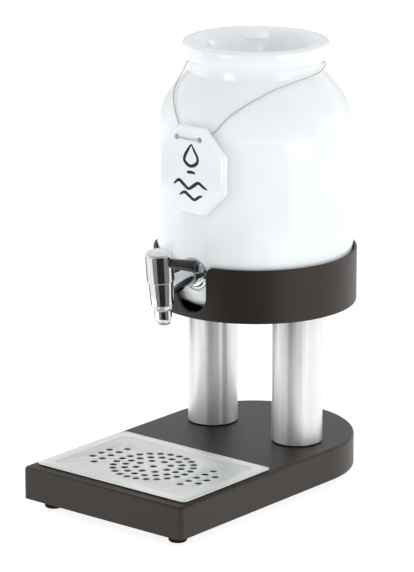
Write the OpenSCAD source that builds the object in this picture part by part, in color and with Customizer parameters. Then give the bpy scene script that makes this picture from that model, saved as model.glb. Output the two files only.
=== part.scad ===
// Tabletop milk dispenser: a porcelain jar with a tap, held in a banded cradle
// on two steel columns, over a base plate with a drip tray.
// Millimetres, +Z up, +X to the right of a person who faces the tap, front towards -Y.
// The origin lies on the table, at the centre of the footprint.

/* [Base plate] */
// Width of the base plate
base_w = 198; // [186:1:220]
// Length of the base plate, from its flat front to its round rear
base_len = 333; // [322:1:360]
// Thickness of the base plate
base_t = 32; // [28:1:45]
// Radius of the front corners, seen from above
base_corner_r = 5; // [4:0.5:12]
// Radius of the rounded upper edge
base_edge_r = 3; // [1:0.5:3.5]

/* [Feet] */
// Diameter of a rubber foot
foot_d = 18; // [16:0.5:22]
// Height of a rubber foot
foot_h = 10; // [8:0.5:14]
// Radius of the rounded lower edge of a foot
foot_edge_r = 3; // [1:0.5:3.5]
// Distance from a foot's centre to the edge of the base plate
foot_inset = 21; // [18:0.5:28]
// Angle of the rear feet behind the line through both columns
foot_rear_angle = 21; // [15:1:40]
// Diameter of the screw that holds a foot
foot_screw_d = 4; // [3:0.5:4.5]
// Diameter of that screw's head
foot_screw_head_d = 8; // [6:0.5:8.5]
// Height of that screw's head
foot_screw_head_h = 2.5; // [2:0.25:3.5]
// Length of that screw inside the base plate
foot_screw_bite = 12; // [8:1:16]

/* [Columns] */
// Outer diameter of a column tube
column_d = 50; // [46:0.5:54]
// Wall of a column tube
column_wall = 1.5; // [1:0.25:3]
// Length of a column tube
column_h = 136; // [110:1:180]
// Distance between the columns' axes
column_spacing = 107; // [94:1:120]
// Thickness of the plug in each end of a column
plug_t = 8; // [6:0.5:12]
// Thickness of the black gasket under a column
gasket_t = 1; // [0.5:0.25:2]
// Diameter of the column screws
column_screw_d = 8; // [6:1:10]
// Diameter of a lower column screw's round head
column_head_d = 13; // [12:0.5:15]
// Height of a lower column screw's head
column_head_h = 8; // [6:0.5:9]
// Diameter of the washer under that head
washer_d = 17; // [16:0.5:20]
// Thickness of that washer
washer_t = 1.6; // [1:0.2:2.4]
// Depth of the space below a lower column screw's head
head_sink = 2; // [1:0.5:4]

/* [Cradle] */
// Height of the cradle's band
ring_h = 53; // [45:1:60]
// Wall of the cradle's band
ring_wall = 3; // [2:0.25:4]
// Gap between the jar and the band's upper edge
cradle_gap = 1.41; // [1.2:0.01:3]
// Thickness of the cradle's floor
floor_t = 3; // [2.5:0.25:5]
// Thickness of the rubber mat under the jar
mat_t = 3; // [2:0.5:5]
// Width of the mat's ring
mat_band = 14; // [8:1:20]
// How far the mat reaches outside the jar's foot ring
mat_margin = 3.5; // [1:0.5:6]
// Width of the notch that lets the tap through
notch_w = 36; // [30:0.5:42]
// Height of the band that is left under the notch
notch_rest = 5.5; // [4:0.5:9]
// Radius of the notch's upper corners
notch_corner_r = 7; // [2:0.5:9]

/* [Jar] */
// Largest diameter of the jar
jar_d = 194; // [180:1:198]
// Wall of the jar
jar_wall = 6; // [5:0.25:8]
// Diameter of the jar's foot ring
jar_foot_d = 156; // [130:1:164]
// Height of the jar's foot ring
jar_foot_h = 4; // [2:0.5:6]
// Radius of the jar's rounded lower edge
jar_heel_r = 8; // [5:0.5:12]
// Height above the foot where the belly starts to draw in downwards
jar_belly_z = 77; // [60:1:95]
// Radius of that long curve
jar_belly_arc = 320; // [240:5:600]
// Height above the foot where the shoulder starts
jar_shoulder_z = 165; // [150:1:190]
// Radius of the shoulder's curve
jar_shoulder_arc = 60; // [45:1:64]
// Slope of the shoulder's upper part, from upright
jar_shoulder_slope = 37; // [34:1:44]
// Outer diameter of the neck
neck_d = 130; // [118:1:136]
// Height of the neck's straight part
neck_h = 1; // [0.5:0.5:12]
// Wall of the neck
neck_wall = 7; // [5:0.25:9]
// How far the rim stands outside the neck
rim_out = 6.2; // [3:0.2:8]
// Radius of the flare under the rim
rim_flare_r = 14.5; // [12:0.5:24]
// Height of the rim's upright edge
rim_h = 3.3; // [2:0.1:6]

/* [Lid] */
// Gap between the lid and the neck's bore
lid_fit = 1; // [0.4:0.1:2]
// How far the lid's edge stands outside the jar's rim
lid_over = 0.6; // [0.2:0.1:2]
// Height of the lid's edge
lid_edge_h = 8.3; // [7:0.1:12]
// Radius of the lid's rounded upper edge
lid_edge_r = 3.5; // [2:0.25:5]
// Depth of the lid's dish
lid_dish_depth = 26; // [25:0.5:34]
// Thickness of the lid's floor and wall
lid_t = 5; // [4:0.25:6]
// Diameter of the knob's cap
knob_d = 26; // [24:0.5:32]
// Height of the knob's dome
knob_dome_h = 7.5; // [5:0.5:12]
// Height of the rounded edge under the dome
knob_edge_h = 2.5; // [1.5:0.25:4]
// Diameter of the knob's stem
knob_stem_d = 13.5; // [10:0.5:15]
// How far the knob stands above the lid's edge
knob_rise = 11; // [6:0.5:16]

/* [Drip tray] */
// Margin between the grid's edge and the sides of the base plate
grid_side_margin = 6; // [4:0.5:12]
// Length of the grid, front to back
grid_len = 131; // [124:1:136]
// Margin between the grid's front edge and the front of the base plate
grid_front_margin = 12.5; // [8:0.5:20]
// Thickness of the grid's sheet
grid_t = 1; // [0.8:0.1:1.4]
// Radius of the grid's corners
grid_corner_r = 5; // [3:0.5:8]
// Width of the grid's flat border
grid_border = 11; // [10:0.5:13]
// Depth of the grid's pressed field
grid_press = 0.7; // [0.5:0.1:0.8]
// Radius of the pressed field's corners
field_corner_r = 7; // [4:0.5:9]
// Diameter of a drain hole
hole_d = 7.5; // [5:0.25:8.5]
// Distance between the rings of drain holes
hole_ring_step = 11.2; // [10:0.2:12]
// Distance between the drain holes in the side rows
hole_row_step = 12.4; // [10:0.2:13]
// Distance from the outer ring of drain holes to the first side row
hole_side_gap = 15; // [10:0.5:16]
// Inside depth of the drip pan
pan_depth = 17; // [12:0.5:20]
// Sheet of the drip pan
pan_t = 0.8; // [0.6:0.1:1.2]
// Width of the drip pan's flange
pan_flange = 6; // [4:0.5:8]

/* [Tap] */
// Distance from the jar's wall to the tap's axis
tap_reach = 48.8; // [44:0.2:58]
// Height above the jar's foot where the tap's barrel meets the wall
tap_height = 36.5; // [33:0.5:46]
// Slant of the tap, which stands square to the jar's wall
tap_slant = 5.5; // [4:0.5:7]
// Height of the seam below the turning head, above the barrel's axis
tap_seam = 8.9; // [8.8:0.1:11]
// Depth of the body's lower end, below the barrel's axis
tap_drop = 14; // [14:0.5:20]
// Radius of the body's lower end
tap_low_r = 11.2; // [10.6:0.1:11.6]
// Radius of the body at the seam
tap_seam_r = 12; // [11.8:0.1:12.6]
// Radius of the turning head
tap_head_r = 13.5; // [13:0.1:15]
// Height of the turning head
tap_head_h = 28.7; // [27:0.1:34]
// Radius of the head's rounded upper edge
tap_head_edge_r = 3.5; // [2:0.25:3.75]
// Radius of the cap that is set into the head
tap_cap_r = 9; // [7:0.25:9.25]
// Thickness of that cap
tap_cap_t = 2.4; // [1.6:0.2:3]
// Radius of the barrel's narrow end at the body
barrel_neck_r = 8.2; // [7.5:0.1:8.4]
// Radius of the barrel
barrel_r = 9; // [8.7:0.1:10.5]
// Radius of the threaded shank through the jar's wall
shank_r = 8; // [7:0.25:8.4]
// Radius of the bore through the barrel
barrel_bore_r = 4; // [3:0.25:4.5]
// Radius of the valve plug
plug_r = 7.45; // [6.8:0.05:7.6]
// Radius of the valve plug's stem
stem_r = 4; // [3.5:0.1:4.5]
// Radius of the passage in the valve plug
port_r = 3.6; // [2.5:0.1:4]
// Length of the nozzle below the body
nozzle_h = 20.6; // [18:0.2:28]
// Radius of the nozzle below its collar
nozzle_r = 8.8; // [8:0.1:9.4]
// Length of the nozzle's straight part below the collar
nozzle_straight = 6.4; // [3:0.2:9]
// Radius of the nozzle's tip
nozzle_tip_r = 6.2; // [5.8:0.1:7]
// Radius of the nozzle's bore
nozzle_bore_r = 4.2; // [3.4:0.1:4.6]
// Radius of the flange against the jar
flange_r = 15.5; // [15:0.25:18]
// Thickness of that flange
flange_t = 3.4; // [2.8:0.1:4]
// Thickness of the gasket behind the flange
outer_gasket_t = 0.8; // [0.6:0.1:1.4]
// Thickness of the gasket inside the jar
inner_gasket_t = 2; // [1:0.25:3]
// Width across the flats of the nut inside the jar
nut_af = 24; // [22:0.5:26]
// Thickness of that nut
nut_t = 8; // [6:0.5:10]

/* [Lever] */
// Height of the lever above the seam
lever_z = 18.6; // [17:0.2:20]
// Distance from the tap's axis to the lever's free end
lever_reach = 40; // [36:1:60]
// Angle of the closed lever from the right, towards the jar
lever_rest = 12; // [0:1:20]
// Radius of the lever at its root
lever_root_r = 4.7; // [3.8:0.1:5]
// Radius of the lever near its free end
lever_end_r = 6; // [5:0.1:7.5]
// Radius of the steel stud inside the lever
stud_r = 2.5; // [2:0.25:3]

/* [Tag] */
// Width of the hanging plate
tag_w = 82; // [76:1:90]
// Height of the hanging plate
tag_h = 86; // [76:1:96]
// Thickness of the hanging plate
tag_t = 5; // [4:0.25:5]
// Size of its cut corners
tag_cut = 25; // [15:1:28]
// Bevel along its front edges
tag_bevel = 1.5; // [0.5:0.25:2.5]
// Gap between the plate and the jar's belly
tag_gap = 1.6; // [1.6:0.1:1.8]
// Diameter of the holes for the chain
tag_hole_d = 5.5; // [5:0.25:7]

/* [Hidden] */
$fn = 96;

// Clearances
thread_fit = 0.1;
bolt_fit = 0.5;
sheet_fit = 0.5;
weld_fit = 0.1;
running_fit = 0.05;
turning_gap = 0.3;
past = 1;

// Colours
umber = [0.27, 0.25, 0.235];
black_rubber = [0.06, 0.06, 0.06];
steel = [0.76, 0.77, 0.76];
zinc = [0.62, 0.63, 0.65];
chrome = [0.83, 0.84, 0.86];
porcelain = [0.965, 0.975, 0.98];
silicone = [0.9, 0.9, 0.88];
black_plastic = [0.05, 0.05, 0.055];
nickel = [0.72, 0.72, 0.7];

// Heights above the table
base_z = foot_h;
base_top = base_z + base_t;
column_z = base_top + gasket_t;
ring_z = column_z + column_h;
ring_top = ring_z + ring_h;
mat_z = ring_z + floor_t;
jar_z = mat_z + mat_t;

// Jar outline, measured from the jar's axis and foot
jar_r = jar_d / 2;
function belly_r(z, inset = 0) =
    let (drop = max(jar_belly_z - z, 0))
    jar_r - jar_belly_arc + sqrt(pow(jar_belly_arc - inset, 2) - drop * drop);
function arc(centre, r, from, to, steps) =
    [for (i = [0:steps]) let (a = from + (to - from) * i / steps) centre + r * [cos(a), sin(a)]];
neck_r = neck_d / 2;
neck_bore_r = neck_r - neck_wall;
shoulder_centre = [jar_r - jar_shoulder_arc, jar_shoulder_z];
shoulder_end = shoulder_centre + jar_shoulder_arc * [cos(jar_shoulder_slope), sin(jar_shoulder_slope)];
neck_z = shoulder_end[1] + (shoulder_end[0] - neck_r) / tan(jar_shoulder_slope);
flare_angle = acos(1 - rim_out / rim_flare_r);
flare_centre = [neck_r + rim_flare_r, neck_z + neck_h];
rim_top = flare_centre[1] + rim_flare_r * sin(flare_angle) + rim_h;
lid_z = jar_z + rim_top;
heel_z = jar_foot_h + jar_heel_r;
belly_steps = 10;
shoulder_steps = 8;
round_steps = 6;

// Lid
dish_edge_r = 10;
dish_round = 14;
stem_flare = 3;
knob_edge_angle = -40;
knob_taper_angle = 60;

// Places seen from above, with the jar's axis behind the centre of the footprint
ring_r = belly_r(ring_top - jar_z) + cradle_gap + ring_wall;
base_r = base_w / 2;
base_front = base_len - base_r;
axis_y = (base_front - max(base_r, ring_r)) / 2;
front_y = axis_y - base_front;
column_x = column_spacing / 2;
tray_y = front_y + grid_front_margin + grid_len / 2;
grid_w = base_w - 2 * grid_side_margin;
front_foot = [base_r - foot_inset, front_y + foot_inset];
rear_foot = [0, axis_y] + (base_r - foot_inset) * [cos(foot_rear_angle), sin(foot_rear_angle)];

// Drip tray
field_w = grid_w - 2 * grid_border;
field_len = grid_len - 2 * grid_border;
pan_w = field_w + 2 * sheet_fit + 2 * pan_t;
pan_len = field_len + 2 * sheet_fit + 2 * pan_t;
pan_corner_r = field_corner_r + sheet_fit + pan_t;
hole_rings = [8, 16, 24];
side_rows = [5, 3];
ring_start = 0.5;
side_row_x = (len(hole_rings) + ring_start) * hole_ring_step + hole_side_gap;

// Screw lengths
column_bore_depth = head_sink + column_head_h + washer_t;
top_screw_r = column_screw_d / 2 - thread_fit;
top_screw_head_r = 2 * top_screw_r;
foot_web = 3;
foot_sink = foot_h - foot_screw_head_h - foot_web;

// Tap, measured from the crossing of its own axis and its barrel's axis
wall_out = belly_r(tap_height);
tap_y = axis_y - wall_out - tap_reach * cos(tap_slant);
tap_z = jar_z + tap_height - tap_reach * sin(tap_slant);
seat_margin = 1.5;
seat_sink = 1.2;
boss_margin = 2;
washer_margin = 1.5;
shank_proud = 2;
seat_r = flange_r + seat_margin;
seat_slope = asin(max(jar_belly_z - tap_height, 0) / jar_belly_arc) - tap_slant;
seat_hollow = wall_out - sqrt(pow(wall_out, 2) - pow(seat_r, 2));
seat_at = tap_reach + seat_hollow + seat_r * tan(abs(seat_slope)) + seat_sink;
boss_at = seat_at + jar_wall;
boss_r = seat_r + boss_margin;
flange_front = seat_at - outer_gasket_t - flange_t;
flange_bevel = 4;
washer_r = nut_af / 2 + washer_margin;
inner_washer_t = 1.5;
nut_start = boss_at + inner_gasket_t + inner_washer_t;
shank_end = nut_start + nut_t + shank_proud;
barrel_start = tap_head_r + turning_gap;
barrel_flare = 1.5;
spigot_wall = 1.7;
spigot_r = plug_r + spigot_wall;
spigot_h = 6.5;
spigot_roof = 2.5;
chamber_r = plug_r + running_fit;
chamber_top = tap_seam + spigot_h - spigot_roof;
thread_step = 1;
thread_r = plug_r + thread_step;
thread_h = 4;
head_z = tap_seam + turning_gap;
head_top = head_z + tap_head_h;
head_cavity_r = spigot_r + turning_gap;
stem_grip = 9;
stem_top = tap_seam + spigot_h + stem_grip;
head_screw_r = 2;
head_screw_bite = 6;
head_screw_head_r = 3.5;
head_screw_head_h = 3;
head_sink_z = head_top - tap_cap_t - head_screw_head_h;
ring_section_r = 0.9;
ring_land = 1.6;
ring_lift = barrel_bore_r + ring_land + ring_section_r;
ring_zs = [ring_lift, -ring_lift];
nozzle_collar_h = 6;
nozzle_step = 0.4;

// Lever
lever_height = tap_seam + lever_z;
lever_edge_r = 2;
stud_sink = 5;
stud_len = 16;
stud_in = tap_head_r - stud_sink;
stud_out = tap_head_r + stud_len;

// Tag
tag_x = 4;
tag_hang = 184.5;
tag_top = jar_z + tag_hang;
tag_hole_drop = 12;
tag_hole_gap = 28;
tag_hole_x = 0;
tag_back_y = axis_y - jar_r - tag_gap;

// Bead chain round the neck and through the tag's holes, from one end of the clasp to the other
chain_d = 1.5;
chain_sides = 8;
chain_steps = 2;
clasp_d = 2.6;
clasp_len = 8;
chain_route = [
    [4, 134, 413.5], [12, 133, 413.5], [33.5, 125, 413.5], [51.5, 110, 413.5], [61.5, 94.5, 412.5],
    [67, 79, 411], [68.5, 55.5, 409.5], [64.5, 37, 406.5], [59, 22.5, 403], [53, 10, 397.5],
    [45, -3, 390.5], [34, -17.5, 379], [26.5, -25.5, 367], [19.5, -28.5, 361], [14.5, -30.5, 357.5],
    [14, -34, 357.5], [13.5, -37, 357.5], [11, -38, 357.5], [0, -38, 357], [-11, -38, 357.5],
    [-13.5, -37, 357.5], [-14, -34, 357.5], [-14.5, -30.5, 358], [-16.5, -28.5, 362],
    [-19, -27, 367], [-24, -24, 373], [-30, -19.5, 378.5], [-38.5, -11.5, 385.5], [-46, -1.5, 392],
    [-51, 11, 401], [-51, 18.5, 408], [-56, 29.5, 412.5], [-63, 44, 413.5], [-67, 67, 413.5],
    [-63, 90, 413.5], [-51.5, 110, 413.5], [-33.5, 125, 413.5], [-12, 133, 413.5], [-4, 134, 413.5],
];

// Shared shapes

module rounded_rect(w, l, r) {
    square([w - 2 * r, l], center = true);
    square([w, l - 2 * r], center = true);
    for (sx = [-1, 1], sy = [-1, 1])
        translate([sx * (w / 2 - r), sy * (l / 2 - r)]) circle(r);
}

module at_columns() {
    for (side = [-1, 1])
        translate([side * column_x, axis_y, 0]) children();
}

module at_feet() {
    for (side = [-1, 1], spot = [front_foot, rear_foot])
        translate([side * spot[0], spot[1], 0]) children();
}

module at_tap() {
    translate([0, tap_y, tap_z]) rotate([tap_slant, 0, 0]) children();
}

// Turns a lathe axis so that it runs from the tap towards the jar
module along_barrel() {
    at_tap() rotate([-90, 0, 0]) children();
}

// Turns a lathe axis so that it runs from the tap's axis along the closed lever
module along_lever() {
    at_tap() rotate([0, 0, lever_rest]) translate([0, 0, lever_height]) rotate([0, 90, 0]) children();
}

module tube(h, r_out, r_in) {
    difference() {
        cylinder(h = h, r = r_out);
        translate([0, 0, -past]) cylinder(h = h + 2 * past, r = r_in);
    }
}

// A quarter hollow that rounds an outer corner at the origin
module corner_cut(r) {
    translate([-r, -r]) difference() {
        square(r + past);
        circle(r);
    }
}

// Base plate

module base_section(reach) {
    difference() {
        square([reach, base_t]);
        translate([reach, base_t]) corner_cut(base_edge_r);
    }
}

module base_block() {
    translate([0, axis_y, 0]) rotate_extrude(angle = 180) base_section(base_r);
    translate([0, axis_y, 0]) rotate([90, 0, 0])
        linear_extrude(base_front - base_corner_r) {
            base_section(base_r);
            mirror([1, 0]) base_section(base_r);
        }
    translate([base_corner_r - base_r, front_y + base_corner_r, 0]) rotate([90, 0, 90])
        linear_extrude(base_w - 2 * base_corner_r) mirror([1, 0]) base_section(base_corner_r);
    for (side = [0, 1])
        mirror([side, 0, 0]) translate([base_r - base_corner_r, front_y + base_corner_r, 0])
            rotate([0, 0, -90]) rotate_extrude(angle = 90) base_section(base_corner_r);
}

module base_plate() {
    color(umber) difference() {
        translate([0, 0, base_z]) base_block();
        translate([0, tray_y, base_top - pan_depth - pan_t - sheet_fit])
            linear_extrude(base_t)
                rounded_rect(pan_w + 2 * sheet_fit, pan_len + 2 * sheet_fit, pan_corner_r + sheet_fit);
        at_columns() {
            translate([0, 0, base_z - past])
                cylinder(h = base_t + 2 * past, r = column_screw_d / 2 + bolt_fit);
            translate([0, 0, base_z - past])
                cylinder(h = column_bore_depth + past, r = washer_d / 2 + bolt_fit);
        }
        at_feet() translate([0, 0, base_z - past])
            cylinder(h = foot_screw_bite + 2 * past, r = foot_screw_d / 2);
    }
}

// Feet

module foot() {
    difference() {
        rotate_extrude() difference() {
            square([foot_d / 2, foot_h]);
            translate([foot_d / 2, 0]) mirror([0, 1]) corner_cut(foot_edge_r);
        }
        translate([0, 0, -past]) cylinder(h = foot_h + 2 * past, r = foot_screw_d / 2 + bolt_fit);
        translate([0, 0, -past])
            cylinder(h = foot_sink + foot_screw_head_h + past, r = foot_screw_head_d / 2 + bolt_fit);
    }
}

module foot_at(side, spot) {
    color(black_rubber) translate([side * spot[0], spot[1], 0]) foot();
}

module foot_front_left() { foot_at(-1, front_foot); }
module foot_front_right() { foot_at(1, front_foot); }
module foot_rear_left() { foot_at(-1, rear_foot); }
module foot_rear_right() { foot_at(1, rear_foot); }

module foot_screws() {
    color(zinc) at_feet() {
        translate([0, 0, foot_sink]) cylinder(h = foot_screw_head_h, r = foot_screw_head_d / 2);
        translate([0, 0, foot_sink])
            cylinder(h = foot_h - foot_sink + foot_screw_bite, r = foot_screw_d / 2 - thread_fit);
    }
}

// Columns

module column_tube(side) {
    color(steel) translate([side * column_x, axis_y, column_z])
        tube(column_h, column_d / 2, column_d / 2 - column_wall);
}

module column_left() { column_tube(-1); }
module column_right() { column_tube(1); }

module column_gaskets() {
    color(black_rubber) at_columns() translate([0, 0, base_top])
        tube(gasket_t, column_d / 2, column_screw_d / 2 + bolt_fit);
}

module column_plug() {
    tube(plug_t, column_d / 2 - column_wall - weld_fit, column_screw_d / 2);
}

module column_lower_plugs() {
    color(zinc) at_columns() translate([0, 0, column_z]) column_plug();
}

module column_upper_plugs() {
    color(zinc) at_columns() translate([0, 0, ring_z - plug_t]) column_plug();
}

module column_base_screws() {
    color(zinc) at_columns() translate([0, 0, base_z + head_sink]) {
        cylinder(h = column_head_h, r = column_head_d / 2);
        cylinder(h = base_t - head_sink + gasket_t + plug_t, r = column_screw_d / 2 - thread_fit);
    }
}

module column_base_washers() {
    color(zinc) at_columns() translate([0, 0, base_z + head_sink + column_head_h])
        tube(washer_t, washer_d / 2, column_screw_d / 2 + thread_fit);
}

// Flat countersunk screws, flush with the cradle's floor
module column_top_screws() {
    color(zinc) at_columns() {
        translate([0, 0, ring_z - plug_t]) cylinder(h = plug_t + floor_t, r = top_screw_r);
        translate([0, 0, ring_z + thread_fit])
            cylinder(h = floor_t - thread_fit, r1 = top_screw_r, r2 = top_screw_head_r);
    }
}

// Cradle

module notch_outline() {
    notch_r = notch_w / 2;
    translate([0, notch_rest + notch_r]) circle(notch_r);
    translate([-notch_r, notch_rest + notch_r]) square([notch_w, ring_h]);
    for (side = [0, 1])
        mirror([side, 0]) translate([notch_r + notch_corner_r, ring_h - notch_corner_r])
            difference() {
                translate([-notch_corner_r - past, 0]) square(notch_corner_r + past);
                circle(notch_corner_r);
            }
}

module cradle_ring() {
    color(umber) translate([0, axis_y, ring_z]) difference() {
        tube(ring_h, ring_r, ring_r - ring_wall);
        rotate([90, 0, 0]) linear_extrude(ring_r + past) notch_outline();
    }
}

module cradle_floor() {
    color(umber) difference() {
        translate([0, axis_y, ring_z]) cylinder(h = floor_t, r = ring_r - ring_wall - weld_fit);
        at_columns() {
            translate([0, 0, ring_z - past])
                cylinder(h = floor_t + 2 * past, r = top_screw_r + thread_fit);
            translate([0, 0, ring_z])
                cylinder(h = floor_t, r1 = top_screw_r + thread_fit, r2 = top_screw_head_r + thread_fit);
        }
    }
}

module jar_mat() {
    color(black_rubber) translate([0, axis_y, mat_z])
        tube(mat_t, jar_foot_d / 2 + mat_margin, jar_foot_d / 2 + mat_margin - mat_band);
}

// Drip tray

module drip_pan() {
    color(steel) translate([0, tray_y, base_top]) difference() {
        union() {
            linear_extrude(pan_t)
                rounded_rect(pan_w + 2 * pan_flange, pan_len + 2 * pan_flange, pan_corner_r + pan_flange);
            translate([0, 0, -pan_depth - pan_t])
                linear_extrude(pan_depth + 2 * pan_t) rounded_rect(pan_w, pan_len, pan_corner_r);
        }
        translate([0, 0, -pan_depth]) linear_extrude(pan_depth + pan_t + past)
            rounded_rect(pan_w - 2 * pan_t, pan_len - 2 * pan_t, pan_corner_r - pan_t);
    }
}

module drain_holes() {
    circle(d = hole_d);
    for (i = [0:len(hole_rings) - 1], k = [0:hole_rings[i] - 1])
        rotate(k * 360 / hole_rings[i])
            translate([0, (i + 1 + ring_start) * hole_ring_step]) circle(d = hole_d);
    for (side = [-1, 1], i = [0:len(side_rows) - 1], k = [0:side_rows[i] - 1])
        translate([side * (side_row_x + i * hole_row_step), (k - (side_rows[i] - 1) / 2) * hole_row_step])
            circle(d = hole_d);
}

module drip_grid() {
    color(steel) translate([0, tray_y, base_top + pan_t]) difference() {
        union() {
            linear_extrude(grid_t) rounded_rect(grid_w, grid_len, grid_corner_r);
            translate([0, 0, -grid_press])
                linear_extrude(grid_press + grid_t) rounded_rect(field_w, field_len, field_corner_r);
        }
        translate([0, 0, grid_t - grid_press]) linear_extrude(grid_press + past)
            rounded_rect(field_w - 2 * grid_t, field_len - 2 * grid_t, field_corner_r - grid_t);
        translate([0, 0, -grid_press - past]) linear_extrude(grid_press + grid_t + 2 * past) drain_holes();
    }
}

// Jar

module jar_outline() {
    heel_x = belly_r(heel_z);
    polygon(concat(
        [[0, jar_foot_h], [jar_foot_d / 2 - jar_wall, jar_foot_h], [jar_foot_d / 2 - jar_wall, 0]],
        [[jar_foot_d / 2, 0], [jar_foot_d / 2, jar_foot_h]],
        arc([heel_x - jar_heel_r, heel_z], jar_heel_r, -90, 0, round_steps),
        [for (i = [1:belly_steps])
            let (z = heel_z + (jar_belly_z - heel_z) * i / belly_steps) [belly_r(z), z]],
        arc(shoulder_centre, jar_shoulder_arc, 0, jar_shoulder_slope, shoulder_steps),
        [[neck_r, neck_z]],
        arc(flare_centre, rim_flare_r, 180, 180 - flare_angle, shoulder_steps),
        [[neck_r + rim_out, rim_top], [0, rim_top]]
    ));
}

module jar_hollow() {
    inner_floor = jar_foot_h + jar_wall;
    inner_heel = inner_floor + jar_heel_r;
    shoulder_in = jar_shoulder_arc - jar_wall;
    in_end = shoulder_centre + shoulder_in * [cos(jar_shoulder_slope), sin(jar_shoulder_slope)];
    polygon(concat(
        [[0, inner_floor]],
        arc([belly_r(inner_heel, jar_wall) - jar_heel_r, inner_heel], jar_heel_r, -90, 0, round_steps),
        [for (i = [1:belly_steps])
            let (z = inner_heel + (jar_belly_z - inner_heel) * i / belly_steps)
                [belly_r(z, jar_wall), z]],
        arc(shoulder_centre, shoulder_in, 0, jar_shoulder_slope, shoulder_steps),
        [[neck_bore_r, in_end[1] + (in_end[0] - neck_bore_r) / tan(jar_shoulder_slope)]],
        [[neck_bore_r, rim_top + past], [0, rim_top + past]]
    ));
}

module jar() {
    color(porcelain) difference() {
        translate([0, axis_y, jar_z]) rotate_extrude() jar_outline();
        difference() {
            translate([0, axis_y, jar_z]) rotate_extrude() jar_hollow();
            along_barrel() cylinder(h = boss_at, r = boss_r);
        }
        along_barrel() cylinder(h = seat_at, r = seat_r);
        along_barrel() translate([0, 0, boss_at]) cylinder(h = nut_t, r = washer_r + past);
        along_barrel() cylinder(h = shank_end, r = shank_r + bolt_fit);
    }
}

// Tap body, with its barrel and shank

module tap_body() {
    color(chrome) difference() {
        union() {
            at_tap() translate([0, 0, -tap_drop])
                cylinder(h = tap_drop + tap_seam, r1 = tap_low_r, r2 = tap_seam_r);
            at_tap() cylinder(h = tap_seam + spigot_h, r = spigot_r);
            along_barrel() cylinder(h = barrel_start, r = barrel_neck_r);
            along_barrel() translate([0, 0, barrel_start])
                cylinder(h = barrel_flare, r1 = barrel_neck_r, r2 = barrel_r);
            along_barrel() translate([0, 0, barrel_start + barrel_flare])
                cylinder(h = flange_front - barrel_start - barrel_flare, r = barrel_r);
            along_barrel() translate([0, 0, flange_front])
                cylinder(h = shank_end - flange_front, r = shank_r);
        }
        at_tap() translate([0, 0, -tap_drop]) cylinder(h = tap_drop + chamber_top, r = chamber_r);
        at_tap() translate([0, 0, -tap_drop - past]) cylinder(h = thread_h + past, r = thread_r);
        at_tap() cylinder(h = tap_seam + spigot_h + past, r = stem_r + running_fit);
        along_barrel() cylinder(h = shank_end + past, r = barrel_bore_r);
    }
}

// Half outline of the nozzle below its collar: straight, then drawn in to the tip
module nozzle_outline() {
    upper_r = nozzle_r - nozzle_step;
    draw_h = nozzle_h - nozzle_collar_h - nozzle_straight;
    draw_in = upper_r - nozzle_tip_r;
    draw_r = (draw_h * draw_h + draw_in * draw_in) / (2 * draw_in);
    polygon(concat(
        [[0, 0]],
        arc([upper_r - draw_r, draw_h], draw_r, -asin(draw_h / draw_r), 0, round_steps),
        [[upper_r, nozzle_h - nozzle_collar_h], [0, nozzle_h - nozzle_collar_h]]
    ));
}

module tap_nozzle() {
    color(chrome) at_tap() translate([0, 0, -tap_drop]) difference() {
        union() {
            cylinder(h = thread_h, r = thread_r - thread_fit);
            translate([0, 0, -nozzle_collar_h]) cylinder(h = nozzle_collar_h, r1 = nozzle_r, r2 = tap_low_r);
            translate([0, 0, -nozzle_h]) rotate_extrude() nozzle_outline();
        }
        translate([0, 0, -nozzle_h - past]) cylinder(h = nozzle_h + thread_h + 2 * past, r = nozzle_bore_r);
    }
}

module tap_flange() {
    bell_h = flange_t * 0.6;
    color(chrome) along_barrel() translate([0, 0, flange_front]) difference() {
        union() {
            cylinder(h = bell_h, r1 = flange_r - flange_bevel, r2 = flange_r);
            translate([0, 0, bell_h]) cylinder(h = flange_t - bell_h, r = flange_r);
        }
        translate([0, 0, -past]) cylinder(h = flange_t + 2 * past, r = shank_r + thread_fit);
    }
}

module tap_outer_gasket() {
    color(silicone) along_barrel() translate([0, 0, flange_front + flange_t])
        tube(outer_gasket_t, flange_r - 1, shank_r + thread_fit);
}

module tap_inner_gasket() {
    color(silicone) along_barrel() translate([0, 0, boss_at])
        tube(inner_gasket_t, washer_r, shank_r + thread_fit);
}

module tap_washer() {
    color(steel) along_barrel() translate([0, 0, boss_at + inner_gasket_t])
        tube(inner_washer_t, washer_r, shank_r + thread_fit);
}

module tap_nut() {
    color(steel) along_barrel() translate([0, 0, nut_start]) difference() {
        cylinder(h = nut_t, d = nut_af / cos(30), $fn = 6);
        translate([0, 0, -past]) cylinder(h = nut_t + 2 * past, r = shank_r + thread_fit);
    }
}

// Turning parts of the tap

module tap_head() {
    color(chrome) difference() {
        at_tap() translate([0, 0, head_z]) rotate_extrude() difference() {
            square([tap_head_r, tap_head_h]);
            translate([tap_head_r, tap_head_h]) corner_cut(tap_head_edge_r);
        }
        at_tap() {
            translate([0, 0, head_z - past]) cylinder(h = spigot_h + past, r = head_cavity_r);
            cylinder(h = stem_top, r = stem_r + thread_fit);
            cylinder(h = head_top, r = head_screw_r + thread_fit);
            translate([0, 0, head_sink_z])
                cylinder(h = head_screw_head_h + past, r = head_screw_head_r + bolt_fit);
            translate([0, 0, head_top - tap_cap_t])
                cylinder(h = tap_cap_t + past, r = tap_cap_r + thread_fit);
        }
        along_lever() translate([0, 0, stud_in]) cylinder(h = tap_head_r, r = stud_r + thread_fit);
    }
}

module tap_cap() {
    color(chrome) at_tap() translate([0, 0, head_top - tap_cap_t]) cylinder(h = tap_cap_t, r = tap_cap_r);
}

module head_screw() {
    screw_tip = stem_top - head_screw_bite;
    color(zinc) at_tap() {
        translate([0, 0, head_sink_z]) cylinder(h = head_screw_head_h, r = head_screw_head_r);
        translate([0, 0, screw_tip]) cylinder(h = head_sink_z - screw_tip, r = head_screw_r);
    }
}

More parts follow.
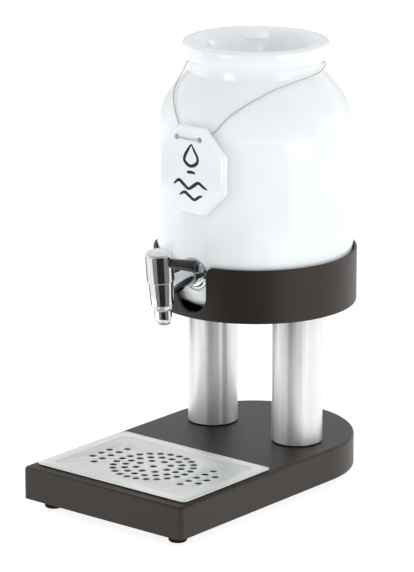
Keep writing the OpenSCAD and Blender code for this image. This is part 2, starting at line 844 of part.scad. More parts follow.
module tap_lever() {
    color(black_plastic) difference() {
        along_lever() rotate_extrude() difference() {
            polygon([[0, tap_seam_r], [lever_root_r, tap_seam_r], [lever_end_r, lever_reach],
                [0, lever_reach]]);
            translate([lever_end_r, lever_reach]) corner_cut(lever_edge_r);
        }
        at_tap() translate([0, 0, head_z]) cylinder(h = tap_head_h, r = tap_head_r + thread_fit);
        along_lever() cylinder(h = stud_out, r = stud_r + thread_fit);
    }
}

module lever_stud() {
    color(zinc) along_lever() translate([0, 0, stud_in]) cylinder(h = stud_out - stud_in, r = stud_r);
}

// The plug's side passage meets the barrel when the lever points to the front
module valve_plug() {
    plug_bottom = thread_h - tap_drop + running_fit;
    plug_top = chamber_top - running_fit;
    color(steel) at_tap() difference() {
        union() {
            translate([0, 0, plug_bottom]) cylinder(h = plug_top - plug_bottom, r = plug_r);
            cylinder(h = stem_top - running_fit, r = stem_r);
        }
        translate([0, 0, plug_bottom - past]) cylinder(h = past - plug_bottom, r = port_r);
        rotate([0, -90, 0]) cylinder(h = plug_r + past, r = port_r);
        translate([0, 0, stem_top - head_screw_bite - past])
            cylinder(h = head_screw_bite + 2 * past, r = head_screw_r + thread_fit);
        for (z = ring_zs)
            translate([0, 0, z - ring_section_r - running_fit])
                tube(2 * (ring_section_r + running_fit), plug_r + past, plug_r - 2 * ring_section_r);
    }
}

module plug_rings() {
    color(silicone) at_tap() for (z = ring_zs)
        translate([0, 0, z]) rotate_extrude()
            translate([plug_r - ring_section_r + running_fit / 2, 0])
                circle(ring_section_r - running_fit / 2);
}

// Lid

module lid_outline() {
    lip_r = neck_r + rim_out + lid_over;
    wall_r = neck_bore_r - lid_fit;
    dish_r = wall_r - lid_t;
    floor_z = lid_edge_h - lid_dish_depth;
    stem = knob_stem_d / 2;
    wide_z = lid_edge_h + knob_rise - knob_dome_h;
    taper_r = (knob_d / 2 * cos(knob_edge_angle) - stem) / (1 - cos(knob_taper_angle));
    taper_z = wide_z + knob_edge_h * sin(knob_edge_angle) - taper_r * sin(knob_taper_angle);
    polygon(concat(
        [[0, floor_z - lid_t], [dish_r, floor_z - lid_t], [wall_r, floor_z], [wall_r, 0], [lip_r, 0]],
        arc([lip_r - lid_edge_r, lid_edge_h - lid_edge_r], lid_edge_r, 0, 90, round_steps),
        arc([dish_r + dish_edge_r, lid_edge_h - dish_edge_r], dish_edge_r, 90, 180, round_steps),
        arc([dish_r - dish_round, floor_z + dish_round], dish_round, 0, -90, round_steps),
        arc([stem + stem_flare, floor_z + stem_flare], stem_flare, -90, -180, round_steps),
        arc([stem + taper_r, taper_z], taper_r, 180, 180 - knob_taper_angle, round_steps),
        [for (i = [1:2 * round_steps])
            let (a = knob_edge_angle + (90 - knob_edge_angle) * i / (2 * round_steps))
                [knob_d / 2 * cos(a), wide_z + (a < 0 ? knob_edge_h : knob_dome_h) * sin(a)]]
    ));
}

module lid() {
    color(porcelain) translate([0, axis_y, lid_z]) rotate_extrude() lid_outline();
}

// Tag

module tag_octagon() {
    w = tag_w / 2;
    h = tag_h / 2;
    polygon([[w, h - tag_cut], [w - tag_cut, h], [tag_cut - w, h], [-w, h - tag_cut],
        [-w, tag_cut - h], [tag_cut - w, -h], [w - tag_cut, -h], [w, tag_cut - h]]);
}

// A long bar whose front corners are bevelled, as wide as the plate across one pair of its edges
module bevel_bar(width) {
    half = width / 2;
    reach = tag_w + tag_h;
    rotate([90, 0, 90]) translate([0, 0, -reach / 2]) linear_extrude(reach)
        polygon([[0, -half], [tag_t - tag_bevel, -half], [tag_t, tag_bevel - half],
            [tag_t, half - tag_bevel], [tag_t - tag_bevel, half], [0, half]]);
}

module tag() {
    slant = tag_w / 2 + tag_h / 2 - tag_cut;
    color(porcelain) translate([tag_x, tag_back_y, tag_top - tag_h / 2]) difference() {
        mirror([0, 1, 0]) intersection() {
            translate([0, tag_t, 0]) rotate([90, 0, 0]) linear_extrude(tag_t) tag_octagon();
            bevel_bar(tag_h);
            rotate([0, 90, 0]) bevel_bar(tag_w);
            rotate([0, 45, 0]) bevel_bar(slant * sqrt(2));
            rotate([0, -45, 0]) bevel_bar(slant * sqrt(2));
        }
        for (side = [-1, 1])
            translate([tag_hole_x - tag_x + side * tag_hole_gap / 2, past, tag_h / 2 - tag_hole_drop])
                rotate([90, 0, 0]) cylinder(h = tag_t + 2 * past, d = tag_hole_d);
    }
}

// Chain

function bend(a, b, c, d, t) =
    0.5 * (2 * b + t * (c - a) + t * t * (2 * a - 5 * b + 4 * c - d)
        + t * t * t * (3 * b - a - 3 * c + d));
function smooth_route(route, steps) =
    let (last = len(route) - 1)
    concat(
        [for (i = [0:last - 1], k = [0:steps - 1])
            bend(route[max(i - 1, 0)], route[i], route[i + 1], route[min(i + 2, last)], k / steps)],
        [route[last]]);
function unit(v) = v / norm(v);
function square_to(way) = unit(cross(way, abs(way[2]) < 0.9 ? [0, 0, 1] : [1, 0, 0]));
// Carries each ring's start direction on from the ring before, so that the tube doesn't twist
function ring_starts(ways, i = 0, sofar = []) =
    i == len(ways) ? sofar
    : let (start = i == 0 ? square_to(ways[0]) : sofar[i - 1])
        ring_starts(ways, i + 1, concat(sofar, [unit(start - ways[i] * (start * ways[i]))]));

module swept_tube(path, d, sides) {
    count = len(path);
    ways = [for (i = [0:count - 1]) unit(path[min(i + 1, count - 1)] - path[max(i - 1, 0)])];
    starts = ring_starts(ways);
    points = [for (i = [0:count - 1], k = [0:sides - 1])
        let (a = 360 * k / sides, side = cross(ways[i], starts[i]))
            path[i] + d / 2 * (cos(a) * starts[i] + sin(a) * side)];
    walls = [for (i = [0:count - 2], k = [0:sides - 1], half = [0, 1])
        let (a = i * sides + k, b = i * sides + (k + 1) % sides)
            half == 0 ? [a, a + sides, b + sides] : [a, b + sides, b]];
    ends = [for (k = [1:sides - 2], end = [0, 1])
        let (first = end * (count - 1) * sides)
            end == 0 ? [first, first + k, first + k + 1] : [first, first + k + 1, first + k]];
    polyhedron(points, concat(walls, ends));
}

module tag_chain() {
    color(nickel) swept_tube(smooth_route(chain_route, chain_steps), chain_d, chain_sides);
}

module chain_clasp() {
    color(nickel) translate([-clasp_len / 2, chain_route[0][1], chain_route[0][2]]) rotate([0, 90, 0])
        cylinder(h = clasp_len, d = clasp_d);
}

base_plate();
foot_front_left();
foot_front_right();
foot_rear_left();
foot_rear_right();
foot_screws();
column_left();
column_right();
column_gaskets();
column_lower_plugs();
column_upper_plugs();
column_base_screws();
column_base_washers();
column_top_screws();
cradle_ring();
cradle_floor();
jar_mat();
drip_pan();
drip_grid();
jar();
tap_body();
tap_nozzle();
tap_flange();
tap_outer_gasket();
tap_inner_gasket();
tap_washer();
tap_nut();
tap_head();
tap_cap();
head_screw();
tap_lever();
lever_stud();
valve_plug();
plug_rings();
lid();
tag();
tag_chain();
chain_clasp();
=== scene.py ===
import math
import bmesh
import bpy
from mathutils import Matrix, Vector


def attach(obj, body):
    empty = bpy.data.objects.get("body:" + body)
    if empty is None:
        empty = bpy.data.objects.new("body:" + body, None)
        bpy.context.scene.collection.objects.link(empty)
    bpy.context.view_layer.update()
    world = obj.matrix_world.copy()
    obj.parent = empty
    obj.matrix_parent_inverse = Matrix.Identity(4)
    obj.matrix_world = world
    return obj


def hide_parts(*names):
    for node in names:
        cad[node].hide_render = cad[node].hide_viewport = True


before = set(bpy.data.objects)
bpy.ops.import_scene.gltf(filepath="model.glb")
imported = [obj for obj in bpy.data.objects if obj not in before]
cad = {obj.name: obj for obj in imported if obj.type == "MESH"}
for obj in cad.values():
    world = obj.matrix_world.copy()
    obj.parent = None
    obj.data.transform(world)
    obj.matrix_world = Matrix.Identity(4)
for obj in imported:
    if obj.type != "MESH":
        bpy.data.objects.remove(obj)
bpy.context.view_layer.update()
mm = 0.001
axisY = 67.0  # the jar's axis, behind the centre of the footprint
print("frame loaded,", len(cad), "nodes")


def toLinear(code):
    parts = [int(code[i:i + 2], 16) / 255 for i in (1, 3, 5)]
    return [p / 12.92 if p <= 0.04045 else ((p + 0.055) / 1.055) ** 2.4 for p in parts] + [1.0]


def addNode(tree, kind, links=None, stops=(), **settings):
    # links holds an input's value, or the socket that feeds it; stops are a ramp's places and colours
    node = tree.nodes.new(kind)
    for name, value in settings.items():
        setattr(node, name, value)
    for name, value in (links or {}).items():
        if isinstance(value, bpy.types.NodeSocket):
            tree.links.new(value, node.inputs[name])
        else:
            node.inputs[name].default_value = value
    for i, (at, colour) in enumerate(stops):
        node.color_ramp.elements[i].position, node.color_ramp.elements[i].color = at, colour
    return node


def newMaterial(name, **shaderValues):
    material = bpy.data.materials.new(name)
    material.use_nodes = True
    tree = material.node_tree
    tree.nodes.clear()
    shader = addNode(tree, "ShaderNodeBsdfPrincipled", shaderValues)
    addNode(tree, "ShaderNodeOutputMaterial", {"Surface": shader.outputs[0]})
    return material, tree, shader


def applyGrain(tree, shader, grain, colours=None, rough=None, relief=None):
    # lets one pattern set the colour (dark, light), the roughness and the relief (strength, depth in mm)
    tint = None
    if colours:
        shades = zip((0.3, 0.7), map(toLinear, colours))  # noise lies mostly between these values
        tint = addNode(tree, "ShaderNodeValToRGB", {"Fac": grain}, shades).outputs["Color"]
        tree.links.new(tint, shader.inputs["Base Color"])
    if rough:
        sheen = addNode(tree, "ShaderNodeMapRange", {"Value": grain, "To Min": rough[0], "To Max": rough[1]})
        tree.links.new(sheen.outputs["Result"], shader.inputs["Roughness"])
    if relief:
        bump = addNode(tree, "ShaderNodeBump", {"Height": grain, "Strength": relief[0], "Distance": relief[1] * mm})
        tree.links.new(bump.outputs["Normal"], shader.inputs["Normal"])
    return tint


# Satin lacquer sprayed on steel: a deep warm umber, with a faint orange peel in the shine
def makeUmberLacquer():
    look = {"colours": ("#231914", "#291e18"), "mottleMm": 45, "peelMm": 1.6, "rough": (0.36, 0.48),
            "relief": (0.35, 0.02)}
    material, tree, shader = newMaterial("umberSatinLacquer", IOR=1.45)
    spot = addNode(tree, "ShaderNodeTexCoord").outputs["Object"]
    mottle = addNode(tree, "ShaderNodeTexNoise", {"Vector": spot, "Scale": 1000 / look["mottleMm"], "Detail": 3.0})
    applyGrain(tree, shader, mottle.outputs["Fac"], look["colours"])
    peel = addNode(tree, "ShaderNodeTexNoise", {"Vector": spot, "Scale": 1000 / look["peelMm"], "Detail": 2.0})
    applyGrain(tree, shader, peel.outputs["Fac"], rough=look["rough"], relief=look["relief"])
    return material


# Brushed stainless steel: fine parallel scratches that stretch each highlight across them
def makeBrushedSteel(name, look):
    material, tree, shader = newMaterial(name, **{
        "Metallic": look["metal"], "Anisotropic": look["streak"], "Anisotropic Rotation": 0.25})
    spot = addNode(tree, "ShaderNodeTexCoord").outputs["Object"]
    squeezed = addNode(tree, "ShaderNodeMapping", {"Vector": spot, "Scale": [1 / s for s in look["stretch"]]})
    lines = addNode(tree, "ShaderNodeTexNoise", {"Vector": squeezed.outputs[0], "Scale": 1000 / look["lineMm"],
                                                 "Detail": 4.0, "Roughness": 0.65})
    tint = applyGrain(tree, shader, lines.outputs["Fac"], look["colours"], look["rough"], (0.04, 0.02))
    if "paintedShadeBelow" in look:
        # painted shade: the pressed field is coloured darker than the rim above it, so the rim reads brighter
        height = addNode(tree, "ShaderNodeSeparateXYZ", {"Vector": spot}).outputs["Z"]
        low, high = [(look["paintedShadeBelow"] + side * look["paintedShadeEdge"]) * mm for side in (-1, 1)]
        fieldShade = addNode(tree, "ShaderNodeMapRange", {"Value": height, "From Min": low, "From Max": high,
                                                    "To Min": look["paintedShadeLevel"], "To Max": 1.0})
        shadedTint = addNode(tree, "ShaderNodeVectorMath", {0: tint, "Scale": fieldShade.outputs["Result"]}, operation="SCALE")
        tree.links.new(shadedTint.outputs[0], shader.inputs["Base Color"])
    if "grainAxis" in look:
        grainWay = addNode(tree, "ShaderNodeTangent", direction_type="RADIAL", axis=look["grainAxis"])
        tree.links.new(grainWay.outputs[0], shader.inputs["Tangent"])
    return material


# Glazed porcelain: bright cool white under a thick glossy glaze that is never quite level
def makePorcelain():
    look = {"colours": ("#edf3f6", "#f3f8fa"), "mottleMm": 60, "waveMm": 28, "relief": (0.5, 0.05)}
    material, tree, shader = newMaterial("whiteGlazedPorcelain", **{
        "Roughness": 0.16, "IOR": 1.52, "Coat Weight": 0.4, "Coat Roughness": 0.06, "Coat IOR": 1.5})
    spot = addNode(tree, "ShaderNodeTexCoord").outputs["Object"]
    mottle = addNode(tree, "ShaderNodeTexNoise", {"Vector": spot, "Scale": 1000 / look["mottleMm"], "Detail": 2.0})
    applyGrain(tree, shader, mottle.outputs["Fac"], look["colours"])
    wave = addNode(tree, "ShaderNodeTexNoise", {"Vector": spot, "Scale": 1000 / look["waveMm"], "Detail": 1.0})
    applyGrain(tree, shader, wave.outputs["Fac"], relief=look["relief"])
    return material


# Chrome plate on turned brass: a hard mirror with a few wiping marks
def makeChrome():
    look = {"colours": ("#d2d6d8", "#dfe2e4"), "markMm": 9, "rough": (0.04, 0.11)}
    material, tree, shader = newMaterial("polishedChromePlate", Metallic=1.0)
    spot = addNode(tree, "ShaderNodeTexCoord").outputs["Object"]
    marks = addNode(tree, "ShaderNodeTexNoise", {"Vector": spot, "Scale": 1000 / look["markMm"], "Detail": 5.0})
    applyGrain(tree, shader, marks.outputs["Fac"], look["colours"], look["rough"])
    return material


# Small parts: one grain for colour, roughness and relief
def makeGrained(name, colours, grainMm, rough, depthMm=0.02, **shaderValues):
    material, tree, shader = newMaterial(name, **shaderValues)
    spot = addNode(tree, "ShaderNodeTexCoord").outputs["Object"]
    grain = addNode(tree, "ShaderNodeTexNoise", {"Vector": spot, "Scale": 1000 / grainMm, "Detail": 3.0})
    applyGrain(tree, shader, grain.outputs["Fac"], colours, rough, (0.3, depthMm))
    return material


# stretch is a scratch's length against its width along X, Y and Z: round the tubes, along the tray. Real
# scratches are 0.05 mm wide, drawn coarser to show. metal under 1 is the haze of the finest ones.
steels = {
    "brushedStainlessTube": {"stretch": (60, 60, 1), "lineMm": 0.5, "colours": ("#e9ece9", "#f1f4f1"),
                             "rough": (0.27, 0.32), "metal": 0.74, "streak": 0.97, "grainAxis": "Z"},
    "brushedStainlessSheet": {"stretch": (60, 1, 1), "lineMm": 0.6, "colours": ("#f3f8f4", "#fcfffc"),
                              "rough": (0.26, 0.36), "metal": 0.36, "streak": 0.0,
                              # painted shade: the pressed field below the rim's height is coloured darker than the
                              # rim
                              "paintedShadeBelow": 43.4, "paintedShadeEdge": 0.2, "paintedShadeLevel": 0.9},
    # painted shade: the pan's steel is coloured darker than the grid's, for the shade under the grid seen through its
    # holes
    "shadeDarkenedStainlessPan": {"stretch": (60, 1, 1), "lineMm": 0.6, "colours": ("#b0b3ae", "#bfc2bd"),
                           "rough": (0.3, 0.4), "metal": 0.95, "streak": 0.0},
}
umberLacquer = makeUmberLacquer()
tubeSteel, sheetSteel, panSteel = [makeBrushedSteel(name, look) for name, look in steels.items()]
porcelain = makePorcelain()
chrome = makeChrome()
# moulded rubber is dull and nearly black, zinc plate a soft grey shine, silicone a matt off-white
blackRubber = makeGrained("mouldedBlackRubber", ("#080706", "#0f0d0c"), 0.8, (0.65, 0.85), IOR=1.3)
zincSteel = makeGrained("zincPlatedSteel", ("#9a9da2", "#b9bcc0"), 1.5, (0.3, 0.45), Metallic=1.0)
silicone = makeGrained("whiteSiliconeRubber", ("#dededa", "#e8e8e4"), 1.2, (0.5, 0.65))
# polished phenolic is deep black under a clear gloss, nickel a warm pale glint, brushed-on glaze an inky black
leverBlack = makeGrained("polishedBlackPhenolic", ("#0b0b0c", "#131314"), 6, (0.14, 0.22), 0.01,
                         **{"Coat Weight": 0.3})
nickel = makeGrained("nickelPlatedBrass", ("#bfbdb5", "#d4d2cb"), 0.7, (0.2, 0.32), 0.005, Metallic=0.75)
brushInk = makeGrained("blackBrushGlaze", ("#161514", "#232120"), 2.5, (0.3, 0.45))
print("materials made")


def softCorners(corners, steps=6):
    # corners are (across, up, radius); each is rounded to its radius, and the ends stay
    points = []
    for i, (x, z, radius) in enumerate(corners):
        here = Vector((x, z))
        if radius <= 0 or i in (0, len(corners) - 1):
            points.append((x, z))
            continue
        back, ahead = Vector(corners[i - 1][:2]) - here, Vector(corners[i + 1][:2]) - here
        turn = back.angle(ahead)
        reach = min(radius / math.tan(turn / 2), 0.499 * back.length, 0.499 * ahead.length)
        radius = reach * math.tan(turn / 2)
        back.normalize(), ahead.normalize()
        centre = here + (back + ahead).normalized() * radius / math.sin(turn / 2)
        first, last = here + back * reach - centre, here + ahead * reach - centre
        sweep = first.angle_signed(last)
        for k in range(steps + 1):
            a = -sweep * k / steps
            points.append((centre.x + first.x * math.cos(a) - first.y * math.sin(a),
                           centre.y + first.x * math.sin(a) + first.y * math.cos(a)))
    return points


def arc(cx, cz, radius, start, end, steps):
    return [(cx + radius * math.cos(math.radians(start + (end - start) * k / steps)),
             cz + radius * math.sin(math.radians(start + (end - start) * k / steps))) for k in range(steps + 1)]


def addPiece(name, points, faces, material, sharp=35):
    # points are in mm in the part's frame; edges that turn more than sharp degrees stay crisp
    mesh = bpy.data.meshes.new(name)
    mesh.from_pydata([(p[0] * mm, p[1] * mm, p[2] * mm) for p in points], [], faces)
    work = bmesh.new()
    work.from_mesh(mesh)
    bmesh.ops.remove_doubles(work, verts=work.verts, dist=1e-7)
    bmesh.ops.recalc_face_normals(work, faces=work.faces)
    work.to_mesh(mesh)
    work.free()
    mesh.polygons.foreach_set("use_smooth", [True] * len(mesh.polygons))
    mesh.set_sharp_from_angle(angle=math.radians(sharp))
    mesh.materials.append(material)
    piece = bpy.data.objects.new(name, mesh)
    bpy.context.scene.collection.objects.link(piece)
    return piece


def lathe(profile, centre, way="Z", sides=160):
    # turns a profile of (radius, along) about an axis through centre
    points, faces, rings = [], [], []
    for radius, along in profile:
        if radius < 1e-6:
            rings.append([len(points)])
            turns = [(0.0, 0.0)]
        else:
            rings.append(list(range(len(points), len(points) + sides)))
            turns = [(radius * math.cos(2 * math.pi * k / sides), radius * math.sin(2 * math.pi * k / sides))
                     for k in range(sides)]
        for u, v in turns:
            offset = {"X": (along, u, v), "Y": (u, along, v), "Z": (u, v, along)}[way]
            points.append(tuple(c + o for c, o in zip(centre, offset)))
    for low, high in zip(rings, rings[1:]):
        for k in range(sides):
            a, b = low[k % len(low)], low[(k + 1) % len(low)]
            c, d = high[(k + 1) % len(high)], high[k % len(high)]
            face = list(dict.fromkeys((a, b, c, d)))
            if len(face) > 2:
                faces.append(face)
    return points, faces


def joined(*parts):
    points, faces = [], []
    for partPoints, partFaces in parts:
        faces += [[i + len(points) for i in face] for face in partFaces]
        points += partPoints
    return points, faces


def loft(loops, capLast=False):
    count = len(loops[0])
    points = [p for loop in loops for p in loop]
    faces = [[i * count + k, i * count + (k + 1) % count, (i + 1) * count + (k + 1) % count, (i + 1) * count + k]
             for i in range(len(loops) - 1) for k in range(count)]
    if capLast:
        faces.append(list(range((len(loops) - 1) * count, len(loops) * count)))
    return points, faces


def roundedLoop(width, length, radius, centre, z, steps=8):
    loop = []
    for sx, sy, start in ((1, 1, 0), (-1, 1, 90), (-1, -1, 180), (1, -1, 270)):
        for k in range(steps + 1):
            a = math.radians(start + 90 * k / steps)
            loop.append((centre[0] + sx * (width / 2 - radius) + radius * math.cos(a),
                         centre[1] + sy * (length / 2 - radius) + radius * math.sin(a), z))
    return loop


def ringOfPoints(centre, radius, z, sides):
    return [(centre[0] + radius * math.cos(2 * math.pi * k / sides),
             centre[1] + radius * math.sin(2 * math.pi * k / sides), z) for k in range(sides)]


def filled(outer, holes):
    # a flat sheet inside one loop, with holes
    work = bmesh.new()
    edges = []
    for loop in [outer, *holes]:
        verts = [work.verts.new(p) for p in loop]
        edges += [work.edges.new((verts[k], verts[(k + 1) % len(verts)])) for k in range(len(verts))]
    bmesh.ops.triangle_fill(work, edges=edges, use_beauty=True)
    work.verts.index_update()
    points = [tuple(v.co) for v in work.verts]
    faces = [[v.index for v in face.verts] for face in work.faces]
    work.free()
    return points, faces


def place(piece, body, slot, *nodes):
    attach(piece, body)
    if nodes:
        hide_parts(*nodes)


# Camera at the photograph's place
view = {"eye": (2.0935, -2.5592, 1.1136), "aim": (-0.0366, 0.0370, 0.1898), "lens": 222.4, "sensor": 36, "far": 50}
camera = bpy.data.objects.new("camera", bpy.data.cameras.new("camera"))
bpy.context.scene.collection.objects.link(camera)
camera.location = view["eye"]
camera.rotation_euler = (Vector(view["aim"]) - Vector(view["eye"])).to_track_quat("-Z", "Y").to_euler()
camera.data.lens = view["lens"]
camera.data.sensor_width = view["sensor"]
camera.data.clip_end = view["far"]
bpy.context.scene.camera = camera

# Bead chain round the neck, through the plate's holes
chain = {
    "beadD": 1.5, "pitch": 2.1, "wireD": 0.55, "smooth": 12,
    "route": [
        (4, 134, 413.5), (12, 133, 413.5), (33.5, 125, 413.5), (51.5, 110, 413.5), (61.5, 94.5, 412.5),
        (67, 79, 411), (68.5, 55.5, 409.5), (64.5, 37, 406.5), (59, 22.5, 403), (53, 10, 397.5),
        (45, -3, 390.5), (34, -17.5, 379), (26.5, -25.5, 367), (19.5, -28.5, 361), (14.5, -30.5, 357.5),
        (14, -34, 357.5), (13.5, -37, 357.5), (11, -38, 357.5), (0, -38, 357), (-11, -38, 357.5),
        (-13.5, -37, 357.5), (-14, -34, 357.5), (-14.5, -30.5, 358), (-16.5, -28.5, 362),
        (-19, -27, 367), (-24, -24, 373), (-30, -19.5, 378.5), (-38.5, -11.5, 385.5), (-46, -1.5, 392),
        (-51, 11, 401), (-51, 18.5, 408), (-56, 29.5, 412.5), (-63, 44, 413.5), (-67, 67, 413.5),
        (-63, 90, 413.5), (-51.5, 110, 413.5), (-33.5, 125, 413.5), (-12, 133, 413.5), (-4, 134, 413.5)],
}


def smoothRoute(route, steps):
    path, last = [], len(route) - 1
    knots = [Vector(p) for p in route]
    for i in range(last):
        a, b, c, d = knots[max(i - 1, 0)], knots[i], knots[i + 1], knots[min(i + 2, last)]
        for k in range(steps):
            t = k / steps
            path.append(0.5 * (2 * b + t * (c - a) + t * t * (2 * a - 5 * b + 4 * c - d)
                               + t ** 3 * (3 * b - a - 3 * c + d)))
    return path + [knots[-1]]


def evenSteps(path, pitch):
    # walks along the path and stops about every pitch, with the path's own ends kept
    lengths = [(b - a).length for a, b in zip(path, path[1:])]
    count = max(1, round(sum(lengths) / pitch))
    stops, step, done, i = [path[0]], sum(lengths) / count, 0.0, 0
    for k in range(1, count):
        while done + lengths[i] < step * k:
            done += lengths[i]
            i += 1
        stops.append(path[i].lerp(path[i + 1], (step * k - done) / lengths[i]))
    return stops + [path[-1]]


def beadAndWire(stops, beadR, wireR, sides=8, rings=6, wireSides=6):
    points, faces = [], []
    tipR = wireR * 0.2  # a bead's end, inside the wire
    profile = [(-beadR, tipR)] + [
        (-beadR * math.cos(math.pi * j / rings), beadR * math.sin(math.pi * j / rings)) for j in range(1, rings)
    ] + [(beadR, tipR)]
    for k, here in enumerate(stops):
        ahead = (stops[min(k + 1, len(stops) - 1)] - stops[max(k - 1, 0)]).normalized()
        side = ahead.orthogonal().normalized()
        up = ahead.cross(side)
        start = len(points)
        for along, radius in profile:
            for s in range(sides):
                a = 2 * math.pi * s / sides
                points.append(here + ahead * along + (side * math.cos(a) + up * math.sin(a)) * radius)
        for j in range(len(profile) - 1):
            for s in range(sides):
                a, b = start + j * sides + s, start + j * sides + (s + 1) % sides
                faces.append([a, b, b + sides, a + sides])
        if k + 1 < len(stops):
            link = (stops[k + 1] - here).normalized()
            across = link.orthogonal().normalized()
            over = link.cross(across)
            start = len(points)
            for end in (here, stops[k + 1]):
                for s in range(wireSides):
                    a = 2 * math.pi * s / wireSides
                    points.append(end + (across * math.cos(a) + over * math.sin(a)) * wireR)
            for s in range(wireSides):
                a, b = start + s, start + (s + 1) % wireSides
                faces.append([a, b, b + wireSides, a + wireSides])
    return points, faces


chainPath = smoothRoute(chain["route"], chain["smooth"])
stops = evenSteps(chainPath, chain["pitch"])
chainPoints, chainFaces = beadAndWire(stops, chain["beadD"] / 2, chain["wireD"] / 2)
beadChain = addPiece("beadChain", chainPoints, chainFaces, nickel, sharp=180)
place(beadChain, "jar", "nickel_chain", "tag_chain")

# Barrel clasp with a collar at each end
clasp = {"at": (0, 134, 413.5), "r": 1.3, "half": 4.0, "edge": 0.4, "collar": 2.9, "waist": 2.7, "waistR": 1.05}
claspEnd = [(clasp["waistR"], clasp["waist"], 0.1), (clasp["r"], clasp["collar"], 0.15),
            (clasp["r"], clasp["half"], clasp["edge"]), (0, clasp["half"], 0)]
claspLine = softCorners([(r, -along, edge) for r, along, edge in reversed(claspEnd)] + claspEnd, 4)
chainClasp = addPiece("chainClasp", *lathe(claspLine, clasp["at"], "X", 24), nickel)
place(chainClasp, "jar", "nickel_chain", "chain_clasp")
print("chain made,", len(stops), "beads")

# Porcelain jar, turned about its axis from the foot to the rim and down inside
jar = {"z": 185, "r": 97, "foot": 78, "footIn": 72, "footH": 4, "footEdge": 1.5, "heel": 8, "bellyZ": 77,
       "bellyArc": 320, "shoulderZ": 165, "shoulderArc": 60, "slope": 37, "neckSlope": 47, "neck": 65.1,
       "neckCurve": 2.5, "throat": (65.4, 232.2, 5), "lip": (69.9, 239.8, 3.5), "rim": (70.5, 243.72),
       "rimEdge": 0.2, "bore": 58, "boreEdge": 1.2, "boreCurve": 5, "wall": 6, "seatR": 17, "bossR": 19}


def bellyR(z, inset=0.0):
    drop = max(jar["bellyZ"] - z, 0)
    return jar["r"] - jar["bellyArc"] + math.sqrt((jar["bellyArc"] - inset) ** 2 - drop ** 2)


def jarProfile():
    slope = math.radians(jar["slope"])
    cx = jar["r"] - jar["shoulderArc"]
    endX = cx + jar["shoulderArc"] * math.cos(slope)
    endZ = jar["shoulderZ"] + jar["shoulderArc"] * math.sin(slope)
    heelZ = jar["footH"] + jar["heel"]
    foot = softCorners([(0, jar["footH"], 0), (jar["footIn"], jar["footH"], jar["footEdge"]),
                        (jar["footIn"], 0, jar["footEdge"]), (jar["foot"], 0, jar["footEdge"]),
                        (jar["foot"], jar["footH"], 0)])
    belly = arc(bellyR(heelZ) - jar["heel"], heelZ, jar["heel"], -90, 0, 10)
    belly += [(bellyR(z), z) for z in [heelZ + (jar["bellyZ"] - heelZ) * k / 24 for k in range(1, 25)]]
    belly += [(jar["r"], jar["bellyZ"] + (jar["shoulderZ"] - jar["bellyZ"]) * k / 10) for k in range(1, 10)]
    shoulder = arc(cx, jar["shoulderZ"], jar["shoulderArc"], 0, jar["slope"], 24)
    # the shoulder goes on bending up to the neck, which stands straight and flares into the lip
    bend = math.radians(jar["neckSlope"])
    bendR = (endX - jar["neck"]) / (math.cos(slope) - math.cos(bend))
    rise = arc(endX - bendR * math.cos(slope), endZ - bendR * math.sin(slope), bendR,
               jar["slope"], jar["neckSlope"], 10)
    rimR, rimTop = jar["rim"]
    flare = softCorners([rise[-3] + (0,), rise[-1] + (jar["neckCurve"],), jar["throat"], jar["lip"],
                         (rimR, rimTop, 0)], 10)
    neck = rise[1:-2] + flare[1:]
    inArc = jar["shoulderArc"] - jar["wall"]
    inEnd = (cx + inArc * math.cos(slope), jar["shoulderZ"] + inArc * math.sin(slope))
    boreLow = inEnd[1] + (inEnd[0] - jar["bore"]) / math.tan(slope)
    mouth = softCorners([neck[-2] + (0,), (rimR, rimTop, jar["rimEdge"]), (jar["bore"], rimTop, jar["boreEdge"]),
                         (jar["bore"], boreLow, jar["boreCurve"]), inEnd + (0,)], 6)[1:]
    inside = arc(cx, jar["shoulderZ"], inArc, jar["slope"], 0, 16)[1:]
    inFloor = jar["footH"] + jar["wall"]
    inHeel = inFloor + jar["heel"]
    inside += [(bellyR(z, jar["wall"]), z)
               for z in [jar["bellyZ"] + (inHeel - jar["bellyZ"]) * k / 16 for k in range(17)]]
    inside += arc(bellyR(inHeel, jar["wall"]) - jar["heel"], inHeel, jar["heel"], 0, -90, 8)[1:]
    return foot + belly + shoulder[1:] + neck[:-1] + mouth + inside + [(0, inFloor)]


def cutAway(piece, cutter):
    # takes the cutter's solid out of the piece and removes the cutter
    change = piece.modifiers.new("cut", "BOOLEAN")
    change.object, change.operation, change.solver = cutter, "DIFFERENCE", "EXACT"
    mesh = bpy.data.meshes.new_from_object(piece.evaluated_get(bpy.context.evaluated_depsgraph_get()))
    piece.modifiers.clear()
    piece.data = mesh
    bpy.data.objects.remove(cutter)


jarPiece = addPiece("porcelainJar", *lathe(jarProfile(), (0, axisY, jar["z"]), sides=192), porcelain)
# the tap stands square to the wall, so its seat in the jar slants with it
tapPose = {"at": (0, -76.0, 216.82), "slant": 5.5, "cutFrom": 20, "seatAt": 52.07, "bossFrom": 53, "bossAt": 58.07,
           "bossEdge": 1.5}


def onTap(mesh, turn=0.0):
    # moves a mesh from the tap's own axes to its place; turn is about the tap's axis
    move = Matrix.Translation(tapPose["at"]) @ Matrix.Rotation(math.radians(tapPose["slant"]), 4, "X")
    move = move @ Matrix.Rotation(math.radians(turn), 4, "Z")
    return [tuple(move @ Vector(p)) for p in mesh[0]], mesh[1]


